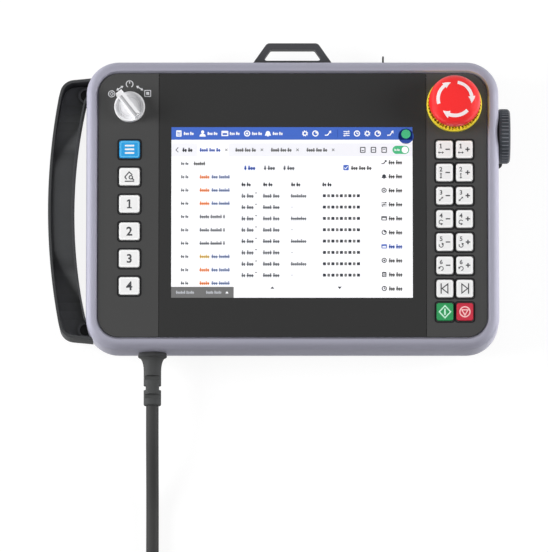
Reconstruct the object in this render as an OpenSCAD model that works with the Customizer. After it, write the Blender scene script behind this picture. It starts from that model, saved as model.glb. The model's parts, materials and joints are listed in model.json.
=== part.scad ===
// Hand-held teach pendant with a touch screen, 22 membrane-backed keys, a mode
// selector, an emergency stop, a jog wheel, an enabling switch and a side grip.
// It lies on its back: +Z is the outward normal of the front panel, +Y points to
// the hanger end, +X to the jog wheel side. The origin is on the resting plane
// under the middle of the body. All lengths are in millimetres.

/* [Body] */
// Width of the body across the front
body_w = 278; // [266:1:300]
// Height of the body from the cable side to the hanger side
body_h = 196; // [186:1:210]
// Radius of the body's outer corners
corner_r = 22; // [20:0.5:26]
// Wall thickness of the frame and the rear hump
wall = 3.5; // [3:0.1:4]
// Height of the front panel's face above the table
panel_z = 44; // [42:0.5:48]
// Height by which the frame's crown stands above the panel
crown = 1.2; // [0.6:0.1:2]
// Width of the coloured rim round the panel opening
rim_w = 7.8; // [7:0.1:10]
// Radius of the rim's outer round
rim_round = 6; // [4:0.5:6]
// Gap between the rear housing's hump and the table
foot_gap = 1.5; // [1.2:0.1:3]
// Height of the rear housing's shallow back above the table
back_z = 8; // [7:0.5:9]
// Thickness of the rear housing's tray
tray_h = 3.4; // [3:0.1:4]
// Draft inset of the rear housing's tray
tray_taper = 4; // [2:0.5:4]

/* [Rear hump] */
// Distance from the body's left side to the hump
hump_left = 55; // [50:1:60]
// Distance from the body's right side to the hump
hump_right = 13; // [12:1:16]
// Distance from the body's top and bottom sides to the hump
hump_edge = 10; // [9:1:16]
// Corner radius of the hump
hump_r = 16; // [12:1:20]
// Diameter of a rubber foot
foot_d = 14; // [10:1:18]
// Distance of a foot's centre from the hump's sides
foot_inset = 14; // [12:1:20]

/* [Front panel] */
// Thickness of the glass and of the key plates
plate_t = 2; // [1.5:0.1:2.2]
// Gap between the rim and the plates
plate_gap = 0.5; // [0.3:0.1:1]
// Width of a side key plate
side_plate_w = 41.2; // [41:0.1:43]
// Gap between the display module and a side plate's inner edge
lcd_gap = 2; // [1:0.5:4]
// Height of the display module
lcd_h = 132; // [125:1:140]
// Thickness of the display module
lcd_t = 5.5; // [4:0.5:7]
// Distance of the display's centre below the body's centre
lcd_drop = 5; // [2:0.5:8]

/* [Keys] */
// Width of a left key
left_key_w = 13.8; // [12:0.1:15]
// Width of a right key
right_key_w = 11.2; // [10:0.1:11.4]
// Height of a key
key_h = 12; // [10:0.1:12.6]
// Distance of the last left key from the body's bottom side
left_last_rise = 42.7; // [38:0.1:46]
// Distance of the last right key row from the body's bottom side
right_last_rise = 25.1; // [24:0.1:26]
// Gap between the two right key columns
pair_gap = 2.2; // [2:0.1:3]
// Distance of the first key row from the body's top side
first_row_drop = 60.3; // [60:0.1:61]
// Height by which a key stands above its plate
key_rise = 1.1; // [1:0.1:2]
// Travel of a key
key_travel = 0.6; // [0.3:0.05:0.7]
// Corner radius of a key
key_r = 1.7; // [1:0.1:2.5]
// Number of left keys
left_count = 6; // [6:1:6]
// Number of right key rows
right_rows = 8; // [8:1:8]

/* [Emergency stop] */
// Distance of the right column's centre from the body's right side
right_column_inset = 30; // [29.5:0.1:30.5]
// Distance of the emergency stop from the body's top side
stop_drop = 29.9; // [29:0.1:31]
// Diameter of the yellow collar
collar_d = 37.2; // [35:0.2:39]
// Height of the collar
collar_h = 6; // [5:0.5:7]
// Diameter of the mushroom cap
cap_d = 33.2; // [30:0.2:34]
// Height of the cap from its rim to its crown
cap_h = 16; // [14:0.5:18]
// Push travel of the emergency stop
stop_travel = 4; // [3:0.5:4]
// Diameter of the collar's threaded neck
neck_d = 22; // [21.5:0.1:22.5]
// Diameter of the plunger
plunger_d = 16; // [14:0.5:17]
// Diameter of the pin that carries the cap
cap_pin_d = 8; // [6:0.5:10]

/* [Mode selector] */
// Distance of the left column's centre from the body's left side
left_column_inset = 29.2; // [28.8:0.1:29.6]
// Distance of the mode knob from the body's top side
knob_drop = 31.5; // [31:0.1:32]
// Diameter of the mode knob
knob_d = 20.6; // [18:0.2:22]
// Height of the mode knob
knob_h = 11; // [9:0.5:14]
// Diameter of the mode knob's shaft
knob_shaft_d = 6; // [4:0.5:7]
// Angle of the pointer from the hanger direction at rest
pointer_angle = 38; // [30:1:45]

/* [Jog wheel] */
// Diameter of the jog wheel
wheel_d = 37; // [34:0.5:38]
// Width of the jog wheel
wheel_w = 7.8; // [7:0.1:9]
// Distance of the wheel's axis from the body's top side
wheel_drop = 48; // [46:0.5:50]
// Height of the wheel's axis above the table
wheel_z = 24.2; // [23.8:0.1:25]
// Number of ribs round the wheel
wheel_ribs = 44; // [36:1:48]
// Diameter of the wheel's shaft
wheel_shaft_d = 6; // [5:0.5:7]
// Radius of the dished thumb recess beside the wheel
scoop_r = 16.5; // [15:0.5:17]

/* [Grip] */
// Distance of the grip's outermost face from the body's left side
grip_reach = 26.1; // [24:0.1:28]
// Thickness of the grip's band at its middle, seen from the front
grip_band = 17.3; // [15:0.1:18]
// Radius of the grip's outer curve
grip_outer_r = 420; // [380:10:500]
// Radius of the grip's inner curve
grip_inner_r = 340; // [300:10:400]
// Half length of the grip along the body's side
grip_half = 90; // [88:0.5:92]
// Height of the grip's rear face above the table
grip_z = 5; // [4:0.5:7]
// Depth of the grip's band
grip_depth = 23; // [20:0.5:25]
// Thickness of the grip's outer lip
grip_lip = 1.8; // [1.5:0.1:2.4]
// Distance of a grip screw from the middle of the body
grip_screw_y = 80.3; // [78:0.1:82]

/* [Hanger] */
// Width of the hanger where it meets the frame
hanger_base = 57.4; // [52:0.2:62]
// Width of the hanger's top bar
hanger_top = 34.4; // [30:0.2:38]
// Height of the hanger above the frame
hanger_h = 16.5; // [14:0.5:20]
// Thickness of the hanger's bars
hanger_bar = 4.3; // [3.8:0.1:5]
// Depth of the hanger along Z
hanger_depth = 8; // [7:0.5:9]

/* [Cable] */
// Diameter of the cable
cable_d = 8.5; // [8:0.1:9]
// Distance of the cable's exit from the body's left side
cable_inset = 44.6; // [43:0.1:46]
// Height of the cable's exit above the table
cable_z = 22; // [20:0.5:24]
// Length of the boot outside the frame
boot_len = 35.6; // [34:0.2:38]
// Diameter of the boot's flange
boot_flange_d = 19.6; // [18:0.2:22]
// Diameter of the boot's ribbed end
boot_d = 11.8; // [11.4:0.1:13]

/* [Enabling switch] */
// Width of the enabling paddle
paddle_w = 24; // [20:1:26]
// Length of the enabling paddle
paddle_l = 62; // [50:1:66]
// Height by which the paddle stands out of the rear housing
paddle_rise = 4.4; // [4:0.1:4.6]
// Full travel of the enabling paddle
paddle_travel = 3; // [2:0.5:3]

/* [USB cover] */
// Distance of the USB port's centre from the body's right side
usb_inset = 89.2; // [86:0.2:94]
// Width of the USB cover
usb_w = 24; // [20:1:28]
// Height of the USB cover
usb_h = 11; // [9:0.5:12]

/* [Clearances] */
// Gap between pieces that move past each other
clear = 0.3; // [0.25:0.01:0.35]
// Radial clearance of a shaft that turns or slides in its bore
fit = 0.05; // [0.03:0.01:0.08]

/* [Hidden] */
$fn = 64;

// frame, panel and their levels
seal_t = 0.6;
seal_w = 2.2;
seal_out = 0.6;
tray_top = back_z + tray_h;
frame_z = tray_top + seal_t;
crown_z = panel_z + crown;
plate_z = panel_z - plate_t;
tape_t = 0.5;
tape_w = 2.3;
ledge_z = plate_z - tape_t;
ledge_t = 2.3;
bevel_w = 1.3;
lip_round = 0.6;
edge_round = min(rim_round, rim_w - bevel_w - lip_round * 0.75);
bevel_h = 1;
open_w = body_w - 2 * rim_w;
open_h = body_h - 2 * rim_w;
plates_w = open_w - 2 * plate_gap;
plates_h = open_h - 2 * plate_gap;
plates_r = corner_r - rim_w - plate_gap;
split_x = open_w / 2 - side_plate_w;
split_gap = 0.15;
left_x = -(body_w / 2 - left_column_inset);
right_x = body_w / 2 - right_column_inset;
first_row_y = body_h / 2 - first_row_drop;
left_pitch = (body_h - first_row_drop - left_last_rise) / (left_count - 1);
right_pitch = (body_h - first_row_drop - right_last_rise) / (right_rows - 1);
stop_y = body_h / 2 - stop_drop;
knob_y = body_h / 2 - knob_drop;

// key stack under the plates
flange_t = 1.3;
flange_out = 0.8;
flange_z = plate_z - clear - flange_t;
mat_t = 1;
mat_z = flange_z - key_travel - clear - mat_t;
board_t = 1.6;
board_z = mat_z - board_t;
board_w = 36;
board_edge = 4;
board_r = 2;
key_edge = 0.5;
left_rows_l = (left_count - 1) * left_pitch;
right_rows_l = (right_rows - 1) * right_pitch;

// rear housing
hump_floor_z = foot_gap + wall;
hump_w = body_w - hump_left - hump_right;
hump_h = body_h - 2 * hump_edge;
hump_x = (hump_left - hump_right) / 2;
hump_taper = 4;
post_d = 7;
post_in = 4;
encoder_post_in = 14;
boss_d = 8;
boss_inset = 7;
boss_h = 14;
mid_boss_x = 34;
screw_d = 3;
screw_head_d = 5.6;
screw_head_h = 2;
screw_len = 12;
screw_slack = 0.1;
foot_t = 2.5;

// display and main board
lcd_w = 2 * (split_x - lcd_gap);
lcd_recess_in = 12;
lcd_z = plate_z - lcd_t;
lcd_post_in = 10;
main_w = lcd_w - 26;
main_h = lcd_h - 28;
main_z = 25;
main_post_in = 5;

// emergency stop
neck_len = 12;
neck_z = panel_z - neck_len;
nut_w = 27;
nut_h = 4;
collar_z = panel_z + collar_h;
collar_lip = 1.2;
collar_ribs = 36;
cap_z = collar_z + stop_travel + clear;
shoulder_z = cap_z - clear;
pin_len = 9;
contact_w = 24;
rod_d = 6;
rod_len = 12;
plunger_z = neck_z + stop_travel + 2;

// mode selector
selector_w = 22;
selector_h = 14;
bush_d = 9;
knob_z = panel_z + clear;
knob_disc_h = 4.6;
knob_rim = 1.2;
knob_bar_w = 4.6;
knob_nose = 1.6;
shaft_len = selector_h - 3;

// jog wheel
wheel_y = body_h / 2 - wheel_drop;
wheel_x = body_w / 2 + clear;
wheel_round = 2.6;
rib_d = 1.5;
hub_d = 12;
pad_t = 5;
pad_d = 30;
pad_x = body_w / 2 - wall - pad_t;
encoder_w = 20;
encoder_t = 8;
shaft_end = 5;
scoop_depth = 3.5;
guard_out = 3.4;
guard_t = 3.2;
guard_rise = 0.4;

// grip
grip_x = -(body_w / 2 + grip_reach);
grip_top = grip_z + grip_depth;
grip_bend = 76;
grip_corner_x = -(body_w / 2 + 16.4);
grip_corner_drop = 2.6;
grip_corner_r = 10;
grip_arm_x = -(body_w / 2 - 4.5);
grip_mid_dip = 1.4;
grip_end_floor = 9;
grip_dip_from = 26;
grip_dip_to = 76;
ear_d = 12;
ear_t = 3.4;
ear_top = 6;
ear_x = -(body_w / 2 + 1);
ear_in = 18;
lug_d = 11;
lug_top = tray_top - 0.2;
grip_screw_d = 4;
grip_head_d = 7;
grip_head_h = 2.4;
grip_screw_hole = 8.2;
grip_screw_seat = ear_top + 2.4;
grip_fit = 0.1;

// hanger
hanger_z = frame_z + 2;
hanger_y = body_h / 2;
hanger_foot = 4.5;
hanger_leg = 5.3;
hanger_screw_x = 11;
hanger_screw_len = 11;
hanger_head_d = 5.8;
hanger_head_h = 1.6;
hanger_pad = 6;

// cable route, from the boot's end to the coil and from the coil to the plug
cable_x = -(body_w / 2 - cable_inset);
boot_end = -(body_h / 2 + boot_len);
lie_z = cable_d / 2;
cable_sides = 12;
cable_route = [
    [cable_x, boot_end, cable_z],
    [cable_x, boot_end - 8, cable_z],
    [cable_x, boot_end - 18, 21.2],
    [cable_x, boot_end - 28, 18.6],
    [cable_x, boot_end - 40, 14],
    [cable_x, boot_end - 52, 9.4],
    [cable_x, boot_end - 63, 6],
    [cable_x, boot_end - 74, 4.6],
    [cable_x, boot_end - 85, lie_z],
    [cable_x, boot_end - 103, lie_z],
    [cable_x, boot_end - 124, lie_z],
    [cable_x, boot_end - 150, lie_z]
];
coil_turns = 4;
coil_layers = 4;
coil_first_r = 36;
coil_last_r = coil_first_r + (coil_turns - 1) * cable_d;
coil_x = cable_x + coil_last_r;
coil_gap = 172;
coil_y = boot_end - coil_gap;
coil_h = coil_layers * cable_d;
coil_out = coil_last_r + cable_d / 2;
coil_in = coil_first_r - cable_d / 2;
coil_round = 3.5;
tail_y = coil_y - coil_last_r;
ring_d = 24;
ring_len = 15;
plug_d = 20;
plug_len = 48;
plug_neck_d = 13;
plug_z = ring_d / 2;
tail_route = [
    [coil_x + 24, tail_y, coil_h - lie_z],
    [coil_x + 36, tail_y, 29],
    [coil_x + 48, tail_y, 26],
    [coil_x + 60, tail_y, 21],
    [coil_x + 72, tail_y, 16],
    [coil_x + 84, tail_y, 13],
    [coil_x + 94, tail_y, plug_z],
    [coil_x + 102, tail_y, plug_z]
];
plug_x = coil_x + 102;
plug_recess = 8;
tie_w = 9;
tie_t = 1.2;
tie_slack = 0.6;
tie_angles = [60, 240];

// enabling switch
paddle_inset = 28;
paddle_x = -(body_w / 2 - paddle_inset);
paddle_flange = 2;
paddle_flange_t = 1.6;
paddle_r = 6;
paddle_edge = 2;
switch_w = 18;
switch_t = 12;
switch_leg = 4.6;
switch_z = tray_top + clear + paddle_flange_t + paddle_travel + clear;

// USB port and cover
usb_x = body_w / 2 - usb_inset;
usb_z = frame_z + 17;
usb_t = 1.4;
usb_tab_t = 1.1;
usb_tab_h = 5.4;
usb_tab_w = 8;
usb_socket_w = 13;
usb_socket_h = 6;
usb_socket_l = 14;
usb_flange = 3;

// ---------- outlines and sweeps ----------

function unit(v) = v / norm(v);

// Points of the arc of radius r that rounds corner b between neighbours a and c.
function corner_arc(a, b, c, r, n) =
    let (u = unit(a - b), v = unit(c - b), half = acos(u * v) / 2,
         mid = b + unit(u + v) * r / sin(half),
         p = b + u * r / tan(half) - mid, q = b + v * r / tan(half) - mid,
         a0 = atan2(p.y, p.x), turn = (atan2(q.y, q.x) - a0 + 540) % 360 - 180)
    [for (k = [0:n]) mid + r * [cos(a0 + turn * k / n), sin(a0 + turn * k / n)]];

// A closed outline with each corner rounded by its own radius.
function rounded(points, radii, n = 6) =
    let (m = len(points))
    [for (i = [0:m - 1]) each radii[i] > 0
        ? corner_arc(points[(i + m - 1) % m], points[i], points[(i + 1) % m], radii[i], n)
        : [points[i]]];

module round_rect(w, h, r) {
    square([w - 2 * r, h], center = true);
    square([w, h - 2 * r], center = true);
    for (sx = [-1, 1], sy = [-1, 1])
        translate([sx * (w / 2 - r), sy * (h / 2 - r)]) circle(r);
}

module round_block(w, h, r, t) {
    linear_extrude(t) round_rect(w, h, r);
}

// Carries a profile round a rounded rectangle. The profile's x is the distance
// out from the corners' centre lines, and its y is the height.
module around(w, h, r) {
    for (i = [0:3]) {
        sx = i == 0 || i == 3 ? 1 : -1;
        sy = i < 2 ? 1 : -1;
        translate([sx * (w / 2 - r), sy * (h / 2 - r), 0])
            rotate([0, 0, 90 * i]) rotate_extrude(angle = 90) children();
    }
    for (a = [0, 180]) {
        rotate([0, 0, a]) translate([w / 2 - r, 0, 0]) rotate([90, 0, 0])
            linear_extrude(h - 2 * r, center = true) children();
        rotate([0, 0, a + 90]) translate([h / 2 - r, 0, 0]) rotate([90, 0, 0])
            linear_extrude(w - 2 * r, center = true) children();
    }
}

// A filled rounded block whose side follows a profile that starts at x = 0.
module shaped_block(w, h, r, z0, z1) {
    around(w, h, r) children();
    translate([-(w / 2 - r), -(h / 2 - r), z0]) cube([w - 2 * r, h - 2 * r, z1 - z0]);
}

// A rounded block with a rounded upper edge, such as a key.
module crowned_block(w, h, r, z0, z1, edge) {
    shaped_block(w, h, r, z0, z1)
        polygon(rounded([[0, z0], [r, z0], [r, z1], [0, z1]], [0, 0, edge, 0], 3));
}

// A round tube along a route: one ring of points per route point, square to the
// route there, joined by quads and closed by its two end rings.
module tube(route, d, sides, ref) {
    n = len(route);
    points = [for (i = [0:n - 1])
        let (t = unit(route[min(i + 1, n - 1)] - route[max(i - 1, 0)]),
             u = unit(ref - (ref * t) * t), v = cross(t, u))
        for (k = [0:sides - 1])
            route[i] + d / 2 * (cos(360 * k / sides) * u + sin(360 * k / sides) * v)];
    faces = concat(
        [[for (k = [0:sides - 1]) k]],
        [for (i = [0:n - 2], k = [0:sides - 1]) let (m = (k + 1) % sides)
            [i * sides + k, (i + 1) * sides + k, (i + 1) * sides + m, i * sides + m]],
        [[for (k = [sides - 1:-1:0]) (n - 1) * sides + k]]);
    polyhedron(points, faces);
}

// ---------- frame ----------

function screw_places() = [
    for (sy = [-1, 1], x = [-(body_w / 2 - corner_r), -mid_boss_x, mid_boss_x,
                            body_w / 2 - corner_r])
        [x, sy * (body_h / 2 - boss_inset)]
];

module frame_profile() {
    lip = corner_r - rim_w;
    inner = corner_r - wall;
    polygon(rounded(
        [[corner_r, frame_z], [corner_r, crown_z], [lip + bevel_w, crown_z],
         [lip, panel_z - bevel_h], [lip, ledge_z], [lip - tape_w, ledge_z],
         [lip - tape_w, ledge_z - ledge_t], [inner, ledge_z - ledge_t - 2],
         [inner, frame_z]],
        [0, edge_round, lip_round, 0, 0, 0, 0, 0, 0], 8));
}

// Thicker places inside the frame behind the wheel and the hanger.
module frame_pads() {
    pad_top = ledge_z - ledge_t;
    translate([pad_x, wheel_y, wheel_z]) rotate([0, 90, 0]) intersection() {
        cylinder(d = pad_d, h = pad_t + 1);
        translate([wheel_z - pad_top, -pad_d / 2, 0])
            cube([pad_top - frame_z - clear, pad_d, pad_t + 1]);
    }
    translate([-hanger_screw_x - 5, hanger_y - wall - hanger_pad, hanger_z])
        cube([2 * hanger_screw_x + 10, hanger_pad + 0.5, hanger_depth]);
}

module usb_pocket() {
    translate([usb_x - usb_w / 2 - clear, body_h / 2 - usb_t - clear,
               usb_z - usb_h / 2 - clear])
        cube([usb_w + 2 * clear, usb_t + clear + 1, usb_h + 2 * clear]);
    translate([usb_x - usb_socket_w / 2 - clear, body_h / 2 - wall - 1,
               usb_z - usb_socket_h / 2 - clear])
        cube([usb_socket_w + 2 * clear, wall + 2, usb_socket_h + 2 * clear]);
}

module hanger_bores() {
    for (s = [-1, 1])
        translate([s * hanger_screw_x, hanger_y + 1, hanger_z + hanger_depth / 2])
            rotate([90, 0, 0]) cylinder(d = screw_d, h = wall + hanger_pad);
}

module front_frame() {
    color("#b9b8cc") difference() {
        union() {
            around(body_w, body_h, corner_r) frame_profile();
            for (p = screw_places()) translate([p.x, p.y, tray_top])
                cylinder(d = boss_d, h = boss_h + seal_t);
            frame_pads();
        }
        for (p = screw_places()) translate([p.x, p.y, tray_top - 1])
            cylinder(d = screw_d, h = boss_h);
        translate([body_w / 2 + scoop_r - scoop_depth, wheel_y, panel_z - 2])
            sphere(scoop_r, $fn = 96);
        translate([pad_x - 1, wheel_y, wheel_z]) rotate([0, 90, 0])
            cylinder(d = hub_d, h = wall + pad_t + 2);
        translate([cable_x, -body_h / 2 - 1, cable_z]) rotate([-90, 0, 0])
            cylinder(d = boot_d + 2 * screw_slack, h = wall + 2);
        usb_pocket();
        hanger_bores();
    }
}

// ---------- rear housing ----------

module tray_profile() {
    polygon(rounded(
        [[0, back_z], [corner_r - tray_taper, back_z], [corner_r, tray_top], [0, tray_top]],
        [0, 1.5, 0, 0], 3));
}

module hump_block(inset, z0, z1) {
    r = hump_r - inset;
    translate([hump_x, 0, 0])
        shaped_block(hump_w - 2 * inset, hump_h - 2 * inset, r, z0, z1)
            polygon(rounded([[0, z0], [r - hump_taper, z0], [r, back_z], [r, z1], [0, z1]],
                            [0, 2.5, 0, 0, 0], 3));
}

// One foot near each corner of the hump, and a pad under the middle of the body.
function foot_places() = concat([[0, 0]], [
    for (sx = [-1, 1], sy = [-1, 1])
        [hump_x + sx * (hump_w / 2 - foot_inset), sy * (hump_h / 2 - foot_inset)]
]);

function board_ends(rows_l) = [
    first_row_y + key_h / 2 + board_edge, first_row_y - rows_l - key_h / 2 - board_edge
];

// Where the boards' posts stand: [x, y, foot height, top height].
function posts() =
    let (l = board_ends(left_rows_l), r = board_ends(right_rows_l),
         bx = board_w / 2 - post_in, low = hump_floor_z - 0.5, high = back_z + 0.5)
    [for (s = [-1, 1]) each [
        [left_x + s * bx, l[0] - post_in, high, board_z],
        [left_x + s * bx, l[1] + post_in, high, board_z],
        [right_x + s * bx, r[0] - encoder_post_in, low, board_z],
        [right_x + s * bx, r[1] + post_in, low, board_z],
        [s * (lcd_w / 2 - lcd_post_in), lcd_h / 2 - lcd_post_in - lcd_drop, low, lcd_z],
        [s * (lcd_w / 2 - lcd_post_in), -(lcd_h / 2 - lcd_post_in) - lcd_drop, low, lcd_z],
        [s * (main_w / 2 - main_post_in), main_h / 2 - main_post_in - lcd_drop, low, main_z],
        [s * (main_w / 2 - main_post_in), -(main_h / 2 - main_post_in) - lcd_drop, low,
         main_z]
    ]];

module grip_ears() {
    for (s = [-1, 1]) translate([0, s * grip_screw_y, 0]) {
        translate([ear_x, 0, ear_top - ear_t]) cylinder(d = ear_d, h = ear_t);
        translate([ear_x, -ear_d / 2, ear_top - ear_t]) cube([ear_in, ear_d, ear_t]);
        translate([ear_x + ear_d / 2, -ear_d / 2, ear_top - 1])
            cube([ear_in - ear_d / 2, ear_d, back_z - ear_top + 2]);
    }
}

// The lip under the wheel that keeps it off the table.
module wheel_guard() {
    x0 = body_w / 2 - hump_right - wall;
    translate([(x0 + body_w / 2 + guard_out) / 2, wheel_y, foot_gap + guard_rise])
        round_block(body_w / 2 + guard_out - x0, wheel_d, 3, guard_t);
}

module rear_housing() {
    color("#3a3b3d") difference() {
        union() {
            difference() {
                union() {
                    shaped_block(body_w, body_h, corner_r, back_z, tray_top)
                        tray_profile();
                    hump_block(0, foot_gap, tray_top);
                }
                hump_block(wall, hump_floor_z, tray_top + 1);
            }
            for (p = posts()) translate([p.x, p.y, p.z]) cylinder(d = post_d, h = p[3] - p.z);
            wheel_guard();
            grip_ears();
        }
        for (s = [-1, 1]) translate([ear_x, s * grip_screw_y, 0]) {
            translate([0, 0, ear_top]) cylinder(d = lug_d + 2 * clear, h = tray_top);
            translate([0, 0, ear_top - ear_t + 0.6])
                cylinder(d = grip_screw_d + screw_slack, h = ear_t);
        }
        for (p = screw_places()) translate([p.x, p.y, 0]) {
            cylinder(d = screw_head_d + 2 * screw_slack, h = back_z + screw_head_h);
            cylinder(d = screw_d + 4 * screw_slack, h = tray_top + 1);
        }
        for (p = foot_places()) translate([p.x, p.y, 0])
            cylinder(d = foot_d + 2 * screw_slack, h = foot_t);
        translate([paddle_x, 0, 0])
            round_block(paddle_w + 2 * clear, paddle_l + 2 * clear, paddle_r + clear,
                        tray_top + 1);
    }
}

module housing_seal() {
    color("#1c1c1e") around(body_w, body_h, corner_r)
        translate([corner_r - seal_out - seal_w, tray_top]) square([seal_w, seal_t]);
}

module rear_feet() {
    color("#222224") for (p = foot_places()) translate([p.x, p.y, 0])
        cylinder(d = foot_d, h = foot_t);
}

module rear_screws() {
    color("#8d9096") for (p = screw_places()) translate([p.x, p.y, back_z]) {
        cylinder(d = screw_head_d, h = screw_head_h);
        cylinder(d = screw_d - screw_slack, h = screw_len);
    }
}

// ---------- front panel ----------

module panel_tape() {
    lip = corner_r - rim_w;
    color("#202022") around(body_w, body_h, corner_r)
        translate([lip - tape_w, ledge_z]) square([tape_w - plate_gap, tape_t]);
}

module touch_glass() {
    color("#26272a") translate([0, 0, plate_z]) linear_extrude(plate_t)
        square([2 * (split_x - split_gap), plates_h], center = true);
}

// One side key plate, cut to the right (side 1) or left (side -1) of the glass.
module side_plate(side) {
    w = plates_w / 2 - split_x - split_gap;
    linear_extrude(plate_t) intersection() {
        round_rect(plates_w, plates_h, plates_r);
        translate([side * (split_x + split_gap + w / 2), 0])
            square([w, plates_h], center = true);
    }
}

module key_window(w) {
    translate([0, 0, -1])
        round_block(w + 2 * clear, key_h + 2 * clear, key_r + clear, plate_t + 2);
}

module left_key_plate() {
    color("#454647") translate([0, 0, plate_z]) difference() {
        side_plate(-1);
        for (i = [0:left_count - 1]) translate([left_x, first_row_y - i * left_pitch, 0])
            key_window(left_key_w);
        translate([left_x, knob_y, -1]) cylinder(d = bush_d + 2 * screw_slack, h = plate_t + 2);
    }
}

module right_key_plate() {
    color("#454647") translate([0, 0, plate_z]) difference() {
        side_plate(1);
        for (i = [0:right_rows - 1], s = [-1, 1])
            translate([right_key_x(s), first_row_y - i * right_pitch, 0])
                key_window(right_key_w);
        translate([right_x, stop_y, -1])
            cylinder(d = neck_d + 2 * screw_slack, h = plate_t + 2);
    }
}

function right_key_x(s) = right_x + s * (right_key_w + pair_gap) / 2;

module key(w) {
    crowned_block(w, key_h, key_r, plate_z - clear, panel_z + key_rise, key_edge);
    translate([0, 0, flange_z])
        round_block(w + 2 * flange_out, key_h + 2 * flange_out, key_r, flange_t);
}

module left_key(i) {
    color(i == 1 ? "#2f9fe0" : "#f2f2f2")
        translate([left_x, first_row_y - (i - 1) * left_pitch, 0]) key(left_key_w);
}

module right_key(r, c) {
    side = c == "a" ? -1 : 1;
    color(r < right_rows ? "#f2f2f2" : c == "a" ? "#35995c" : "#c93548")
        translate([right_key_x(side), first_row_y - (r - 1) * right_pitch, 0])
            key(right_key_w);
}

// The sheet area behind one column of keys, at the given level.
module behind_keys(x, rows_l, z, t) {
    ends = board_ends(rows_l);
    translate([x, (ends[0] + ends[1]) / 2, z])
        round_block(board_w, ends[0] - ends[1], board_r, t);
}

module key_boards() {
    color("#2f7d4a") {
        behind_keys(left_x, left_rows_l, board_z, board_t);
        behind_keys(right_x, right_rows_l, board_z, board_t);
    }
}

module key_mats() {
    color("#d9d9d4") {
        behind_keys(left_x, left_rows_l, mat_z, mat_t);
        behind_keys(right_x, right_rows_l, mat_z, mat_t);
    }
}

module lcd_module() {
    color("#9a9da3") translate([0, -lcd_drop, lcd_z]) difference() {
        round_block(lcd_w, lcd_h, 2, lcd_t);
        translate([0, 0, -1]) round_block(lcd_w - 2 * lcd_recess_in, lcd_h - 2 * lcd_recess_in, 2, 1.8);
    }
}

module main_board() {
    color("#2f7d4a") translate([0, -lcd_drop, main_z]) {
        round_block(main_w, main_h, 3, board_t);
        for (c = [[-30, 10, 36, 30, 3], [24, 16, 20, 20, 2.4], [40, -28, 30, 16, 6],
                  [-48, -30, 26, 12, 5]])
            translate([c.x * main_w / 150, c.y * main_h / 104, board_t]) linear_extrude(c[4])
                square([c.z * main_w / 150, c[3] * main_h / 104], center = true);
    }
}

// ---------- emergency stop ----------

module stop_collar() {
    r = collar_d / 2;
    color("#f0c21c") translate([right_x, stop_y, 0]) difference() {
        union() {
            rotate_extrude() polygon(rounded(
                [[0, panel_z], [r, panel_z], [r, collar_z - collar_lip],
                 [r - collar_lip, collar_z - collar_lip / 2],
                 [r - 1.6 * collar_lip, collar_z - collar_lip],
                 [r - 4 * collar_lip, collar_z], [0, collar_z]],
                [0, 0.4, 0.5, 0.5, 0, 0, 0], 4));
            translate([0, 0, neck_z]) cylinder(d = neck_d, h = neck_len + 1);
        }
        translate([0, 0, neck_z - 1])
            cylinder(r = plunger_d / 2 + fit, h = neck_len + collar_h + 2);
        for (k = [1:collar_ribs]) rotate([0, 0, 360 * k / collar_ribs])
            translate([r - 4 * collar_lip, -0.55, collar_z - 1.6 * collar_lip])
                cube([3 * collar_lip, 1.1, 2 * collar_lip]);
    }
}

module stop_nut() {
    color("#b9bcc0") translate([right_x, stop_y, plate_z - nut_h]) difference() {
        cylinder(d = nut_w / cos(30), h = nut_h, $fn = 6);
        translate([0, 0, -1]) cylinder(d = neck_d + screw_slack, h = nut_h + 2);
    }
}

module stop_contact_block() {
    hole_z = plunger_z - rod_len - stop_travel - 1;
    color("#2a2b2e") translate([right_x, stop_y, frame_z]) difference() {
        round_block(contact_w, contact_w, 2, neck_z - frame_z);
        translate([0, 0, hole_z - frame_z])
            cylinder(d = rod_d + 2 * clear, h = neck_z - hole_z + 1);
    }
}

module stop_plunger() {
    color("#3b3c40") translate([right_x, stop_y, 0]) {
        translate([0, 0, plunger_z]) cylinder(d = plunger_d, h = shoulder_z - plunger_z);
        translate([0, 0, plunger_z - rod_len]) cylinder(d = rod_d, h = rod_len + 1);
        translate([0, 0, shoulder_z - 1]) cylinder(d = cap_pin_d, h = pin_len + 1);
    }
}

module stop_cap() {
    r = cap_d / 2;
    color("#d8202a") translate([right_x, stop_y, cap_z]) difference() {
        rotate_extrude($fn = 96) polygon(rounded(
            [[0, 0], [r - 3.6, 0], [r, 3.2], [r, 8.5], [r - 5.6, cap_h - 1.1], [0, cap_h]],
            [0, 1, 1.2, 5, 7, 0], 6));
        translate([0, 0, -1])
            cylinder(r = cap_pin_d / 2 + fit, h = pin_len + 1 + 2 * clear);
    }
}

// ---------- mode selector ----------

module mode_switch() {
    color("#2a2b2e") translate([left_x, knob_y, plate_z - selector_h]) difference() {
        union() {
            round_block(selector_w, selector_w, 2, selector_h);
            cylinder(d = bush_d, h = selector_h + plate_t);
        }
        translate([0, 0, selector_h - shaft_len - clear])
            cylinder(r = knob_shaft_d / 2 + fit, h = shaft_len + plate_t + 1);
    }
}

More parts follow.
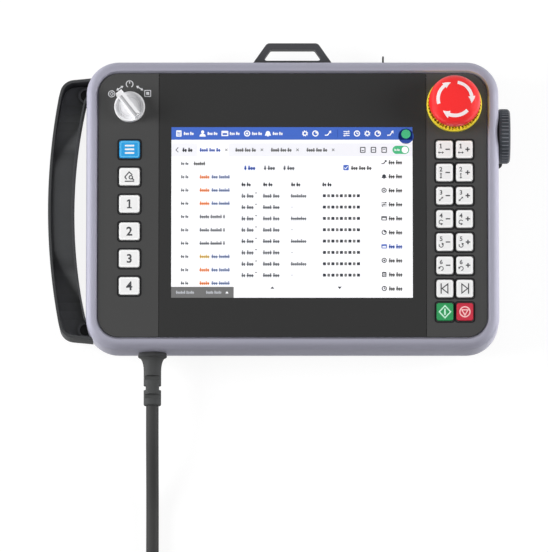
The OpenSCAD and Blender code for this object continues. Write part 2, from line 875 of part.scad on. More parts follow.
module mode_knob() {
    r = knob_d / 2;
    bar_z = knob_disc_h - knob_rim;
    color("#ececec") translate([left_x, knob_y, knob_z]) {
        rotate_extrude() polygon(rounded(
            [[0, 0], [r, 0], [r, knob_disc_h], [r - knob_rim, knob_disc_h],
             [r - 2 * knob_rim, bar_z], [0, bar_z]],
            [0, 0.3, 0.5, 0.3, 0, 0], 3));
        rotate([0, 0, 90 + pointer_angle]) {
            translate([-(r - knob_rim), -knob_bar_w / 2, bar_z - 0.5])
                cube([2 * r - 2 * knob_rim, knob_bar_w, knob_h - bar_z + 0.5]);
            translate([r - knob_rim - 0.5, -knob_bar_w / 2, 0])
                cube([knob_rim + knob_nose + 0.5, knob_bar_w, knob_h - 1]);
        }
        translate([0, 0, -(plate_t + clear + shaft_len)])
            cylinder(d = knob_shaft_d, h = plate_t + clear + shaft_len + 1);
    }
}

// ---------- jog wheel ----------

module jog_wheel() {
    r = wheel_d / 2;
    shaft_l = body_w / 2 + clear - pad_x + shaft_end;
    color("#3c3f45") translate([wheel_x, wheel_y, wheel_z]) rotate([0, 90, 0]) {
        difference() {
            rotate_extrude($fn = 96) polygon(rounded(
                [[0, 0], [r - 0.8, 0], [r, 0.8], [r, wheel_w], [r - 6, wheel_w],
                 [r - 7.5, wheel_w - 1], [0, wheel_w - 1]],
                [0, 0, 0, wheel_round, 1, 0, 0], 5));
            for (k = [1:wheel_ribs]) rotate([0, 0, 360 * k / wheel_ribs])
                translate([r + 0.15, 0, 0.8]) cylinder(d = rib_d, h = wheel_w, $fn = 16);
        }
        translate([0, 0, -shaft_l]) cylinder(d = wheel_shaft_d, h = shaft_l + 1);
    }
}

module jog_bush() {
    color("#b08d4a") translate([pad_x, wheel_y, wheel_z]) rotate([0, 90, 0]) difference() {
        cylinder(d = hub_d, h = wall + pad_t);
        translate([0, 0, -1]) cylinder(r = wheel_shaft_d / 2 + fit, h = wall + pad_t + 2);
    }
}

module jog_encoder() {
    color("#2a2b2e") translate([pad_x - encoder_t, wheel_y, wheel_z]) rotate([0, 90, 0])
        difference() {
            round_block(encoder_w, encoder_w, 2, encoder_t);
            translate([0, 0, encoder_t - shaft_end - clear])
                cylinder(r = wheel_shaft_d / 2 + fit, h = shaft_end + clear + 1);
        }
}

// ---------- hand grip ----------

// The x of a long curve whose middle is at x0, at a height y along the grip.
function bow(x0, r, y) = x0 + r - sqrt(r * r - y * y);

// The grip seen from the front, drawn in by a wall all round.
function grip_outline(lip, inner) =
    let (m = 12, ys = [for (k = [-m:m]) grip_bend * k / m],
         outer = [for (y = ys) [bow(grip_x + lip, grip_outer_r, y), y]],
         inside = [for (k = [m:-1:-m]) let (y = (grip_bend - 2) * k / m)
             [bow(grip_x + grip_band - inner, grip_inner_r, y), y]],
         corner = [grip_corner_x + lip, grip_half - grip_corner_drop - lip],
         arm = [grip_arm_x, grip_half - 0.6 - lip])
    rounded(concat([arm_down(arm), arm_down(corner)], outer, [corner, arm], inside),
            concat([0, grip_corner_r - lip], [for (y = ys) 0], [grip_corner_r - lip, 0],
                   [for (p = inside) 0]));

function arm_down(p) = [p.x, -p.y];

// How far the floor of the grip's recess lies above the grip's rear face.
function grip_floor(y) =
    let (t = min(1, max(0, (abs(y) - grip_dip_from) / (grip_dip_to - grip_dip_from))),
         top = grip_depth - grip_mid_dip, low = grip_end_floor - grip_z)
    top - (top - low) * (1 - cos(180 * t)) / 2;

module grip_recess() {
    m = 16;
    intersection() {
        linear_extrude(grip_depth + 1) polygon(grip_outline(grip_lip, grip_lip * 0.7));
        translate([grip_x - 5, 0, 0]) rotate([90, 0, 90]) linear_extrude(grip_reach + 20)
            polygon(concat(
                [[-grip_half, grip_depth + 2]],
                [for (k = [-m:m]) let (y = grip_half * k / m) [y, grip_floor(y)]],
                [[grip_half, grip_depth + 2]]));
    }
}

module hand_grip() {
    color("#2c2d2f") difference() {
        union() {
            difference() {
                translate([0, 0, grip_z]) difference() {
                    linear_extrude(grip_depth) polygon(grip_outline(0, 0));
                    grip_recess();
                }
                translate([0, 0, back_z - clear])
                    round_block(body_w + 2 * grip_fit, body_h + 2 * grip_fit,
                                corner_r + grip_fit, crown_z);
            }
            for (s = [-1, 1]) translate([ear_x, s * grip_screw_y, ear_top])
                cylinder(d = lug_d, h = lug_top - ear_top);
        }
        translate([0, 0, -1])
            round_block(body_w + 2 * grip_fit, body_h - 26, corner_r + grip_fit, crown_z);
        for (s = [-1, 1]) translate([ear_x, s * grip_screw_y, 0]) {
            cylinder(d = ear_d + 2 * clear, h = ear_top);
            translate([0, -ear_d / 2 - clear, 0])
                cube([ear_in, ear_d + 2 * clear, ear_top]);
            translate([0, 0, grip_screw_seat]) cylinder(d = grip_screw_hole, h = grip_depth);
            cylinder(d = grip_screw_d + 2 * screw_slack, h = grip_depth);
        }
    }
}

module grip_screws() {
    color("#8d9096") for (s = [-1, 1]) translate([ear_x, s * grip_screw_y, 0]) {
        translate([0, 0, grip_screw_seat]) cylinder(d = grip_head_d, h = grip_head_h);
        translate([0, 0, ear_top - ear_t + 0.8])
            cylinder(d = grip_screw_d, h = grip_screw_seat - ear_top + ear_t);
    }
}

// ---------- hanger ----------

module hanger_loop() {
    b = hanger_base / 2;
    t = hanger_top / 2;
    slope = (b - t) / hanger_h;
    low = hanger_foot;
    high = hanger_h - hanger_bar;
    color("#434345") difference() {
        translate([0, hanger_y, hanger_z]) linear_extrude(hanger_depth) difference() {
            polygon(rounded([[-b, 0], [b, 0], [t, hanger_h], [-t, hanger_h]],
                            [0, 0, 3.5, 3.5]));
            polygon(rounded(
                [for (p = [[-1, low], [1, low], [1, high], [-1, high]])
                    [p.x * (b - slope * p.y - hanger_leg), p.y]],
                [1.5, 1.5, 1.5, 1.5]));
        }
        for (s = [-1, 1])
            translate([s * hanger_screw_x, hanger_y + hanger_foot, hanger_z + hanger_depth / 2])
                rotate([90, 0, 0]) {
                    translate([0, 0, -0.1])
                        cylinder(d1 = hanger_head_d + 0.6, d2 = screw_d + 0.3,
                                 h = hanger_head_h + 0.1);
                    cylinder(d = screw_d + 0.2, h = hanger_foot + 1);
                }
    }
}

module hanger_screws() {
    color("#8d9096") for (s = [-1, 1])
        translate([s * hanger_screw_x, hanger_y + hanger_foot - 0.1,
                   hanger_z + hanger_depth / 2])
            rotate([90, 0, 0]) {
                cylinder(d1 = hanger_head_d, d2 = screw_d - screw_slack, h = hanger_head_h);
                cylinder(d = screw_d - screw_slack, h = hanger_screw_len);
            }
}

// ---------- enabling switch ----------

module enabling_paddle() {
    z0 = back_z - paddle_rise;
    flange_l = paddle_l + 2 * paddle_flange;
    color("#2a2b2e") translate([paddle_x, 0, 0]) {
        translate([0, 0, tray_top + clear]) mirror([0, 0, 1])
            crowned_block(paddle_w, paddle_l, paddle_r, 0, tray_top + clear - z0,
                          paddle_edge);
        translate([0, 0, tray_top + clear])
            round_block(paddle_w + 2 * paddle_flange, flange_l, paddle_r, paddle_flange_t);
    }
}

module enabling_switch() {
    inner = paddle_l / 2 + paddle_flange + 2 * clear;
    color("#46484c") translate([paddle_x, 0, 0]) {
        translate([0, 0, switch_z])
            round_block(switch_w, 2 * (inner + switch_leg), 2, switch_t);
        for (s = [-1, 1]) translate([0, s * (inner + switch_leg / 2), tray_top])
            linear_extrude(switch_z - tray_top + 1)
                square([switch_w - 4, switch_leg], center = true);
    }
}

// ---------- USB port ----------

module usb_cover() {
    color("#2a2b2e") translate([usb_x, body_h / 2, usb_z]) {
        translate([-usb_w / 2, -usb_t, -usb_h / 2]) cube([usb_w, usb_t, usb_h]);
        translate([usb_w / 2 - usb_tab_t, -usb_t, -usb_tab_w / 2])
            cube([usb_tab_t, usb_t + usb_tab_h, usb_tab_w]);
    }
}

module usb_port() {
    color("#9a9da3") translate([usb_x, body_h / 2 - wall, usb_z]) difference() {
        union() {
            translate([-usb_socket_w / 2, -usb_socket_l, -usb_socket_h / 2])
                cube([usb_socket_w, usb_socket_l + wall - usb_t - 2 * clear, usb_socket_h]);
            translate([-usb_socket_w / 2 - usb_flange, -2, -usb_socket_h / 2 - usb_flange])
                cube([usb_socket_w + 2 * usb_flange, 2, usb_socket_h + 2 * usb_flange]);
        }
        translate([-usb_socket_w / 2 + 0.8, 2 - usb_socket_l, -usb_socket_h / 2 + 0.8])
            cube([usb_socket_w - 1.6, usb_socket_l + wall, usb_socket_h - 1.6]);
    }
}

// ---------- cable ----------

module cable_boot() {
    r = boot_d / 2;
    f = boot_flange_d / 2;
    neck = 12;
    curve = [for (k = [0:6]) let (a = 90 * k / 6)
        [r + (f - r - 0.6) * (1 - sin(a)), 3 + (neck - 3) * (1 - cos(a))]];
    color("#3a3b3a") translate([cable_x, -body_h / 2, cable_z]) rotate([90, 0, 0])
        difference() {
            rotate_extrude() polygon(rounded(
                concat([[0, -wall - 2], [r, -wall - 2], [r, 0], [f - 0.4, 0], [f, 2.4]], curve,
                       [[r, boot_len], [0, boot_len]]),
                concat([0, 0, 0, 0, 0], [for (p = curve) 0], [1, 0]), 3));
            for (s = [-1, 1], y = [17, 29.5])
                translate([-r + 0.4, s > 0 ? r - 2.6 : -r - 1, y - 1.5])
                    cube([2 * r - 0.8, 3.6, 3]);
            for (s = [-1, 1])
                translate([s > 0 ? r - 1.4 : -r - 1, -r - 1, 22]) cube([2.4, 2 * r + 2, 3.2]);
        }
}

module cable() {
    color("#414141") tube(cable_route, cable_d, cable_sides, [1, 0, 0]);
}

module cable_tail() {
    color("#414141") tube(tail_route, cable_d, cable_sides, [0, 1, 0]);
}

module cable_coil() {
    color("#414141") translate([coil_x, coil_y, 0]) difference() {
        rotate_extrude($fn = 96) polygon(rounded(
            [[coil_in, 0], [coil_out, 0], [coil_out, coil_h], [coil_in, coil_h]],
            [coil_round, coil_round, coil_round, coil_round], 3));
        for (a = tie_angles) rotate([0, 0, a])
            translate([coil_in - 1, -tie_w / 2 - clear, -1])
                cube([coil_out - coil_in + 2, tie_w + 2 * clear, tie_t + 1.1]);
    }
}

module coil_tie() {
    w = coil_out - coil_in + tie_slack;
    color("#1c1c1e") translate([coil_x, coil_y, 0]) for (a = tie_angles) rotate([0, 0, a])
        translate([(coil_in + coil_out - tie_slack) / 2 + 0.1, tie_w / 2, 0])
            rotate([90, 0, 0])
            linear_extrude(tie_w) difference() {
                translate([-w / 2 - tie_t, 0])
                    square([w + 2 * tie_t, coil_h + tie_t + 0.1]);
                translate([-w / 2, tie_t]) square([w, coil_h - tie_t + 0.1]);
            }
}

module plug_body() {
    color("#2a2b2e") translate([plug_x, tail_y, plug_z]) rotate([0, 90, 0]) difference() {
        rotate_extrude() polygon(rounded(
            [[0, 0], [plug_neck_d / 2, 0], [plug_neck_d / 2, 8], [plug_d / 2, 14],
             [plug_d / 2, plug_len], [0, plug_len]],
            [0, 0.8, 3, 2, 0.6, 0], 3));
        translate([0, 0, plug_len - plug_recess]) cylinder(d = plug_d - 3, h = plug_recess + 1);
    }
    color("#c9a24a") translate([plug_x + plug_len - plug_recess - 1, tail_y, plug_z])
        rotate([0, 90, 0]) for (a = [0:45:315]) rotate([0, 0, a]) translate([5.4, 0, 0])
            cylinder(d = 1.4, h = plug_recess);
}

module plug_ring() {
    color("#9a9da3") translate([plug_x + plug_len - ring_len - 4, tail_y, plug_z])
        rotate([0, 90, 0]) difference() {
            cylinder(d = ring_d, h = ring_len);
            translate([0, 0, -1]) cylinder(d = plug_d + 2 * screw_slack, h = ring_len + 2);
            for (a = [7.5:15:359]) rotate([0, 0, a]) translate([ring_d / 2 + 0.3, 0, 1.5])
                cylinder(d = 1.6, h = ring_len - 3, $fn = 16);
        }
}

front_frame();
rear_housing();
housing_seal();
panel_tape();
touch_glass();
left_key_plate();
right_key_plate();
lcd_module();
main_board();
key_boards();
key_mats();
stop_collar();
stop_nut();
stop_contact_block();
stop_plunger();
stop_cap();
mode_switch();
mode_knob();
jog_wheel();
jog_bush();
jog_encoder();
hand_grip();
grip_screws();
hanger_loop();
hanger_screws();
enabling_paddle();
enabling_switch();
usb_cover();
usb_port();
rear_feet();
rear_screws();
cable_boot();
cable();
cable_coil();
cable_tail();
coil_tie();
plug_body();
plug_ring();
for (i = [1:left_count]) left_key(i);
for (r = [1:right_rows], c = ["a", "b"])
    right_key(r, c);
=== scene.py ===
"""Dressed model of a hand-held teach pendant, lying on its back on a pale table.

+Z is the outward normal of the front panel, +Y points to the hanger end and +X to the
jog wheel side. Sizes in the classes are millimetres; every mesh is made in metres, with
its place in its vertices.
"""

from __future__ import annotations

import json
import logging
import math
from dataclasses import dataclass, field
from enum import Enum
from typing import Any, Iterable, Sequence

import bpy
import numpy as np
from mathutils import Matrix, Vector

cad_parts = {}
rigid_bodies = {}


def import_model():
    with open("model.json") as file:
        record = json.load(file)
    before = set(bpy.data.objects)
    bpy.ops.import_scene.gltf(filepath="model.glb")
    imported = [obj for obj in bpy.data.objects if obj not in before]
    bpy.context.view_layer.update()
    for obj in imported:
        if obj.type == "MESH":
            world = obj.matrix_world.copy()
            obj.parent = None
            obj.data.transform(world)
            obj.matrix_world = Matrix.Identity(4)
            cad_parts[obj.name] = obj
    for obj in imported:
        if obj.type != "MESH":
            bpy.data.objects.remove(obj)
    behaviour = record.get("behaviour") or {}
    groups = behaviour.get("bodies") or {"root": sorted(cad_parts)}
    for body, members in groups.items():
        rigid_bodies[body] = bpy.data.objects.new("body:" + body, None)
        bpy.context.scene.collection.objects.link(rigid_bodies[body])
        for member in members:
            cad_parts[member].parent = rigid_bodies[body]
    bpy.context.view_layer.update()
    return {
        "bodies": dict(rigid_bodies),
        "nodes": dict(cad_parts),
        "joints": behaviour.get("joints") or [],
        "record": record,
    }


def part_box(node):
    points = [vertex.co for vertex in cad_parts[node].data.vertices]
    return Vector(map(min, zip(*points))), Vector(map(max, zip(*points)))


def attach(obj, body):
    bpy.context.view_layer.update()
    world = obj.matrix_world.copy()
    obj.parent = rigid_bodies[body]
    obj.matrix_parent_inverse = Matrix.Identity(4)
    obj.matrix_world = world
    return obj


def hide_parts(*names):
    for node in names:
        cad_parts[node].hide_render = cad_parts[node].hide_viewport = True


LOG = logging.getLogger("teach_pendant")
MM = 0.001
TURN = 2.0 * math.pi
ROOT = "pendant"
PANEL_Z = 44.0

Array = np.ndarray
Colour = tuple[float, float, float, float]


# ---------------------------------------------------------------- small helpers


def linear(code: str) -> Colour:
    """Turn an sRGB hex colour into linear red, green, blue and alpha.

    Args:
        code: a colour such as "#3c3f45".

    Returns:
        Four numbers from 0 to 1; a channel v is v / 12.92 up to 0.04045 and
        ((v + 0.055) / 1.055) ** 2.4 above.
    """
    raw = [int(code[i : i + 2], 16) / 255.0 for i in (1, 3, 5)]
    lin = [v / 12.92 if v <= 0.04045 else ((v + 0.055) / 1.055) ** 2.4 for v in raw]
    return lin[0], lin[1], lin[2], 1.0


def scaled(colour: Colour, factor: float) -> Colour:
    """Return a linear colour made lighter or darker by a factor, at most white."""
    return tuple(min(1.0, c * factor) for c in colour[:3]) + (1.0,)


def add(tree: Any, kind: str, inputs: dict[Any, Any] | None = None, **settings: Any) -> Any:
    """Add one node with its settings and links.

    Args:
        tree: the node tree.
        kind: the node's type name.
        inputs: socket name or number to a plain value or to another node's output.
        settings: attributes of the node itself.

    Returns:
        The new node.
    """
    node = tree.nodes.new(kind)
    for key, value in settings.items():
        setattr(node, key, value)
    for key, value in (inputs or {}).items():
        if isinstance(value, bpy.types.NodeSocket):
            tree.links.new(value, node.inputs[key])
        else:
            node.inputs[key].default_value = value
    return node


def new_material(name: str) -> tuple[Any, Any]:
    """Make an empty node material and return it with its tree."""
    material = bpy.data.materials.new(name)
    material.use_nodes = True
    material.node_tree.nodes.clear()
    return material, material.node_tree


def cells(rows: int, cols: int, base: int = 0) -> Array:
    """The first corner's vertex number in each cell of a grid counted row by row.

    Args:
        rows: how many rows of points.
        cols: how many points in a row.
        base: the number of the grid's first point.

    Returns:
        One number for each cell.
    """
    i, j = np.meshgrid(np.arange(rows - 1), np.arange(cols - 1), indexing="ij")
    return base + (i * cols + j).ravel()


def mesh_object(
    name: str, points: Array, faces: Sequence[Sequence[int]], materials: Sequence[Any],
    body: str, slots: Array | None = None, smooth: bool = False,
) -> Any:
    """Make a mesh object that rides on a body.

    Args:
        name: the piece's name.
        points: n by 3 array, in millimetres.
        faces: lists of vertex numbers.
        materials: one material or more.
        body: the body it moves with.
        slots: material number of each face.
        smooth: whether its faces are shaded smooth.

    Returns:
        The new object.
    """
    mesh = bpy.data.meshes.new(name)
    mesh.from_pydata((np.asarray(points, float) * MM).tolist(), [], list(faces))
    for material in materials:
        mesh.materials.append(material)
    if slots is not None:
        mesh.polygons.foreach_set("material_index", np.asarray(slots, np.int32))
    mesh.polygons.foreach_set("use_smooth", np.full(len(mesh.polygons), smooth))
    mesh.update()
    piece = bpy.data.objects.new(name, mesh)
    bpy.context.scene.collection.objects.link(piece)
    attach(piece, body)
    LOG.info("piece %s: %d faces on %s", name, len(mesh.polygons), body)
    return piece


def dress(node: str, material: Any, frame: dict[str, Any]) -> None:
    """Give a carried-over CAD node its material, in every slot it has."""
    mesh = frame["nodes"][node].data
    if not mesh.materials:
        mesh.materials.append(material)
    for i in range(len(mesh.materials)):
        mesh.materials[i] = material
    LOG.info("dressed %s with %s", node, material.name)


# ---------------------------------------------------------------- finishes


@dataclass(frozen=True)
class Moulded:
    """ABS or PC moulded in an eroded tool: a fine even grain that breaks up highlights,
    slight cloudiness of the colour, and edges softened by the tool's radius."""

    name: str
    colour: str
    roughness: float = 0.5
    grain_mm: float = 0.9
    depth_mm: float = 0.02
    cloud_mm: float = 14.0
    cloud: float = 0.07
    edge_mm: float = 0.35
    edge_highlight: float = 0.0
    coat: float = 0.0
    ior: float = 1.49
    floor_light: float = 0.0
    floor_light_z: float = 24.0

    def painted_floor_light(self, tree: Any, where: Any, colour: Any, base: Any) -> Any:
        """Painted light: a paler colour on faces that look up from the bottom of a hollow, where
        the hollow's shade falls.

        Args:
            tree: the material's nodes.
            where: the object coordinates.
            colour: the clean colour.
            base: the colour as linear numbers.

        Returns:
            The colour, paler below the floor height where the normal points up: painted light.
        """
        height = add(tree, "ShaderNodeSeparateXYZ", {0: where}).outputs[2]
        up = add(tree, "ShaderNodeSeparateXYZ", {
            0: add(tree, "ShaderNodeNewGeometry").outputs["Normal"]}).outputs[2]
        low = add(tree, "ShaderNodeMapRange", {
            "Value": height, "From Min": self.floor_light_z * MM,
            "From Max": (self.floor_light_z - 8.0) * MM, "To Min": 0.0, "To Max": self.floor_light})
        flat = add(tree, "ShaderNodeMapRange", {
            "Value": up, "From Min": 0.7, "From Max": 0.95, "To Min": 0.0, "To Max": 1.0})
        # Mask of the painted light: low in the piece and facing up.
        lies = add(tree, "ShaderNodeMath", {
            0: low.outputs["Result"], 1: flat.outputs["Result"]}, operation="MULTIPLY")
        return add(tree, "ShaderNodeMix", {
            "Factor": lies.outputs[0], 6: colour, 7: scaled(base, 5.0)},
            data_type="RGBA").outputs[2]

    def material(self) -> Any:
        """Build the material.

        Returns:
            A principled material whose bump is noise of the grain's size over a
            bevelled normal, and whose colour and roughness drift with a broad noise.
        """
        mat, tree = new_material(self.name)
        where = add(tree, "ShaderNodeTexCoord").outputs["Object"]
        cloud = add(tree, "ShaderNodeTexNoise", {
            "Vector": where, "Scale": 1000.0 / self.cloud_mm, "Detail": 3.0})
        grain = add(tree, "ShaderNodeTexNoise", {
            "Vector": where, "Scale": 1000.0 / self.grain_mm, "Detail": 4.0,
            "Roughness": 0.65})
        base = linear(self.colour)
        tint = add(tree, "ShaderNodeMix", {
            "Factor": cloud.outputs["Fac"], 6: scaled(base, 1.0 - self.cloud),
            7: scaled(base, 1.0 + self.cloud)}, data_type="RGBA")
        soft = add(tree, "ShaderNodeBevel", {"Radius": self.edge_mm * MM}, samples=4)
        colour = tint.outputs[2]
        # Painted highlight: the colour is lifted towards 2.6 times the base where the bevelled
        # normal turns from the flat one, that is along every edge.
        if self.edge_highlight:
            flat = add(tree, "ShaderNodeNewGeometry").outputs["Normal"]
            turn = add(tree, "ShaderNodeVectorMath", {0: soft.outputs[0], 1: flat},
                       operation="DOT_PRODUCT")
            edge_highlight_mask = add(tree, "ShaderNodeMapRange", {
                "Value": turn.outputs["Value"], "From Min": 0.995, "From Max": 0.86,
                "To Min": 0.0, "To Max": self.edge_highlight})
            colour = add(tree, "ShaderNodeMix", {
                "Factor": edge_highlight_mask.outputs["Result"], 6: colour,
                7: scaled(base, 2.6)}, data_type="RGBA").outputs[2]
        # Painted light: up-facing floors low in the piece's hollows are painted paler.
        if self.floor_light:
            colour = self.painted_floor_light(tree, where, colour, base)
        rough = add(tree, "ShaderNodeMapRange", {
            "Value": grain.outputs["Fac"], "From Min": 0.3, "From Max": 0.7,
            "To Min": self.roughness - 0.06, "To Max": self.roughness + 0.06})
        bump = add(tree, "ShaderNodeBump", {
            "Height": grain.outputs["Fac"], "Distance": self.depth_mm * MM,
            "Strength": 0.8, "Normal": soft.outputs[0]})
        shader = add(tree, "ShaderNodeBsdfPrincipled", {
            "Base Color": colour, "Roughness": rough.outputs["Result"],
            "Normal": bump.outputs[0], "IOR": self.ior, "Coat Weight": self.coat})
        shader.inputs["Coat Roughness"].default_value = 0.12
        add(tree, "ShaderNodeOutputMaterial", {"Surface": shader.outputs[0]})
        return mat


@dataclass(frozen=True)
class Painted:
    """Die-cast alloy under two-coat satin paint: faint orange peel in the lacquer and a
    trace of fine pale fleck, with the coat a little thinner on edges."""

    name: str
    colour: str
    roughness: float = 0.48
    metallic: float = 0.6
    peel_mm: float = 1.6
    fleck_mm: float = 0.5

    def material(self) -> Any:
        """Build the material: orange peel is a low noise bump, fleck a Voronoi tint."""
        mat, tree = new_material(self.name)
        where = add(tree, "ShaderNodeTexCoord").outputs["Object"]
        peel = add(tree, "ShaderNodeTexNoise", {
            "Vector": where, "Scale": 1000.0 / self.peel_mm, "Detail": 2.0})
        fleck = add(tree, "ShaderNodeTexVoronoi", {
            "Vector": where, "Scale": 1000.0 / self.fleck_mm})
        drift = add(tree, "ShaderNodeTexNoise", {
            "Vector": where, "Scale": 1000.0 / 60.0, "Detail": 2.0})
        base = linear(self.colour)
        spark = add(tree, "ShaderNodeMapRange", {
            "Value": fleck.outputs["Distance"], "From Min": 0.0, "From Max": 0.5,
            "To Min": 0.22, "To Max": 0.0})
        tint = add(tree, "ShaderNodeMix", {
            "Factor": drift.outputs["Fac"], 6: scaled(base, 0.97), 7: scaled(base, 1.03)},
            data_type="RGBA")
        colour = add(tree, "ShaderNodeMix", {
            "Factor": spark.outputs["Result"], 6: tint.outputs[2], 7: scaled(base, 1.25)},
            data_type="RGBA")
        soft = add(tree, "ShaderNodeBevel", {"Radius": 0.3 * MM}, samples=4)
        bump = add(tree, "ShaderNodeBump", {
            "Height": peel.outputs["Fac"], "Distance": 0.03 * MM, "Strength": 0.5,
            "Normal": soft.outputs[0]})
        shader = add(tree, "ShaderNodeBsdfPrincipled", {
            "Base Color": colour.outputs[2], "Roughness": self.roughness,
            "Metallic": self.metallic, "Normal": bump.outputs[0], "Coat Weight": 0.08,
            "Coat Roughness": 0.25, "IOR": 1.5})
        add(tree, "ShaderNodeOutputMaterial", {"Surface": shader.outputs[0]})
        return mat


@dataclass(frozen=True)
class Metal:
    """Plated or turned metal: fine tool marks round one axis and a slightly uneven shine."""

    name: str
    colour: str
    roughness: float = 0.3
    mark_mm: float = 0.4
    stretch: tuple[float, float, float] = (1.0, 1.0, 12.0)

    def material(self) -> Any:
        """Build the material: marks are noise stretched along two axes."""
        mat, tree = new_material(self.name)
        where = add(tree, "ShaderNodeTexCoord").outputs["Object"]
        turned = add(tree, "ShaderNodeMapping", {"Vector": where, "Scale": self.stretch})
        marks = add(tree, "ShaderNodeTexNoise", {
            "Vector": turned.outputs[0], "Scale": 1000.0 / (self.mark_mm * 6.0),
            "Detail": 5.0})
        base = linear(self.colour)
        tint = add(tree, "ShaderNodeMix", {
            "Factor": marks.outputs["Fac"], 6: scaled(base, 0.9), 7: scaled(base, 1.08)},
            data_type="RGBA")
        rough = add(tree, "ShaderNodeMapRange", {
            "Value": marks.outputs["Fac"], "To Min": self.roughness - 0.08,
            "To Max": self.roughness + 0.12})
        soft = add(tree, "ShaderNodeBevel", {"Radius": 0.2 * MM}, samples=4)
        bump = add(tree, "ShaderNodeBump", {
            "Height": marks.outputs["Fac"], "Distance": 0.01 * MM, "Strength": 0.6,
            "Normal": soft.outputs[0]})
        shader = add(tree, "ShaderNodeBsdfPrincipled", {
            "Base Color": tint.outputs[2], "Metallic": 1.0,
            "Roughness": rough.outputs["Result"], "Normal": bump.outputs[0]})
        add(tree, "ShaderNodeOutputMaterial", {"Surface": shader.outputs[0]})
        return mat


@dataclass(frozen=True)
class Board:
    """Glass-fibre circuit board: green solder mask over copper tracks, which show as
    slightly lighter straight runs a millimetre apart."""

    name: str = "FR4_solder_mask"
    colour: str = "#1d5c38"
    track_mm: float = 1.6

    def material(self) -> Any:
        """Build the material: tracks are a brick pattern a track pitch high."""
        mat, tree = new_material(self.name)
        where = add(tree, "ShaderNodeTexCoord").outputs["Object"]
        base = linear(self.colour)
        brick = add(tree, "ShaderNodeTexBrick", {
            "Vector": where, "Color1": scaled(base, 1.35), "Color2": scaled(base, 1.1),
            "Mortar": scaled(base, 0.8), "Scale": 1000.0 / (self.track_mm * 4.0),
            "Mortar Size": 0.03})
        grime = add(tree, "ShaderNodeTexNoise", {
            "Vector": where, "Scale": 180.0, "Detail": 3.0})
        rough = add(tree, "ShaderNodeMapRange", {
            "Value": grime.outputs["Fac"], "To Min": 0.28, "To Max": 0.5})
        bump = add(tree, "ShaderNodeBump", {
            "Height": brick.outputs["Fac"], "Distance": 0.03 * MM, "Strength": 0.6})
        shader = add(tree, "ShaderNodeBsdfPrincipled", {
            "Base Color": brick.outputs["Color"], "Roughness": rough.outputs["Result"],
            "Normal": bump.outputs[0]})
        add(tree, "ShaderNodeOutputMaterial", {"Surface": shader.outputs[0]})
        return mat


@dataclass(frozen=True)
class Strap:
    """Nylon hook-and-loop strap: a plain weave under a nap of loops, matt with sheen."""

    name: str = "hook_and_loop_strap"
    colour: str = "#1b1b1d"
    thread_mm: float = 0.7

    def material(self) -> Any:
        """Build the material: two crossed wave textures a thread apart give the weave."""
        mat, tree = new_material(self.name)
        where = add(tree, "ShaderNodeTexCoord").outputs["Object"]
        waves = [add(tree, "ShaderNodeTexWave", {
            "Vector": where, "Scale": 1000.0 / (self.thread_mm * 20.0) * 3.2,
            "Distortion": 1.2, "Detail": 2.0}, bands_direction=axis) for axis in "XY"]
        weave = add(tree, "ShaderNodeMath", {
            0: waves[0].outputs["Fac"], 1: waves[1].outputs["Fac"]}, operation="MULTIPLY")
        base = linear(self.colour)
        tint = add(tree, "ShaderNodeMix", {
            "Factor": weave.outputs[0], 6: scaled(base, 0.7), 7: scaled(base, 1.6)},
            data_type="RGBA")
        bump = add(tree, "ShaderNodeBump", {
            "Height": weave.outputs[0], "Distance": 0.2 * MM, "Strength": 0.8})
        shader = add(tree, "ShaderNodeBsdfPrincipled", {
            "Base Color": tint.outputs[2], "Roughness": 0.9, "Normal": bump.outputs[0],
            "Sheen Weight": 0.4})
        add(tree, "ShaderNodeOutputMaterial", {"Surface": shader.outputs[0]})
        return mat


@dataclass(frozen=True)
class Pixels:
    """A lit LCD area under glass: it shines by itself as well as reflecting, with a
    faint grid of picture elements drawn as coarse as it needs to show."""

    name: str
    colour: str
    shine: float = 0.15
    pitch_mm: float = 0.9

    def material(self) -> Any:
        """Build the material: the grid is a checker that dims every other element."""
        mat, tree = new_material(self.name)
        where = add(tree, "ShaderNodeTexCoord").outputs["Object"]
        base = linear(self.colour)
        grid = add(tree, "ShaderNodeTexChecker", {
            "Vector": where, "Scale": 1000.0 / self.pitch_mm,
            "Color1": scaled(base, 1.0), "Color2": scaled(base, 0.975)})
        shader = add(tree, "ShaderNodeBsdfPrincipled", {
            "Base Color": grid.outputs["Color"], "Roughness": 0.35,
            "Emission Color": grid.outputs["Color"], "Emission Strength": self.shine,
            "Specular IOR Level": 0.3})
        add(tree, "ShaderNodeOutputMaterial", {"Surface": shader.outputs[0]})
        return mat


@dataclass(frozen=True)
class Ink:
    """Screen-printed ink on a key or plate: matt, very slightly uneven in cover."""

    name: str
    colour: str
    roughness: float = 0.6

    def material(self) -> Any:
        """Build the material: cover varies by a noise of two millimetres."""
        mat, tree = new_material(self.name)
        where = add(tree, "ShaderNodeTexCoord").outputs["Object"]
        cover = add(tree, "ShaderNodeTexNoise", {"Vector": where, "Scale": 500.0})
        base = linear(self.colour)
        tint = add(tree, "ShaderNodeMix", {
            "Factor": cover.outputs["Fac"], 6: scaled(base, 0.95), 7: scaled(base, 1.04)},
            data_type="RGBA")
        shader = add(tree, "ShaderNodeBsdfPrincipled", {
            "Base Color": tint.outputs[2], "Roughness": self.roughness})
        add(tree, "ShaderNodeOutputMaterial", {"Surface": shader.outputs[0]})
        return mat


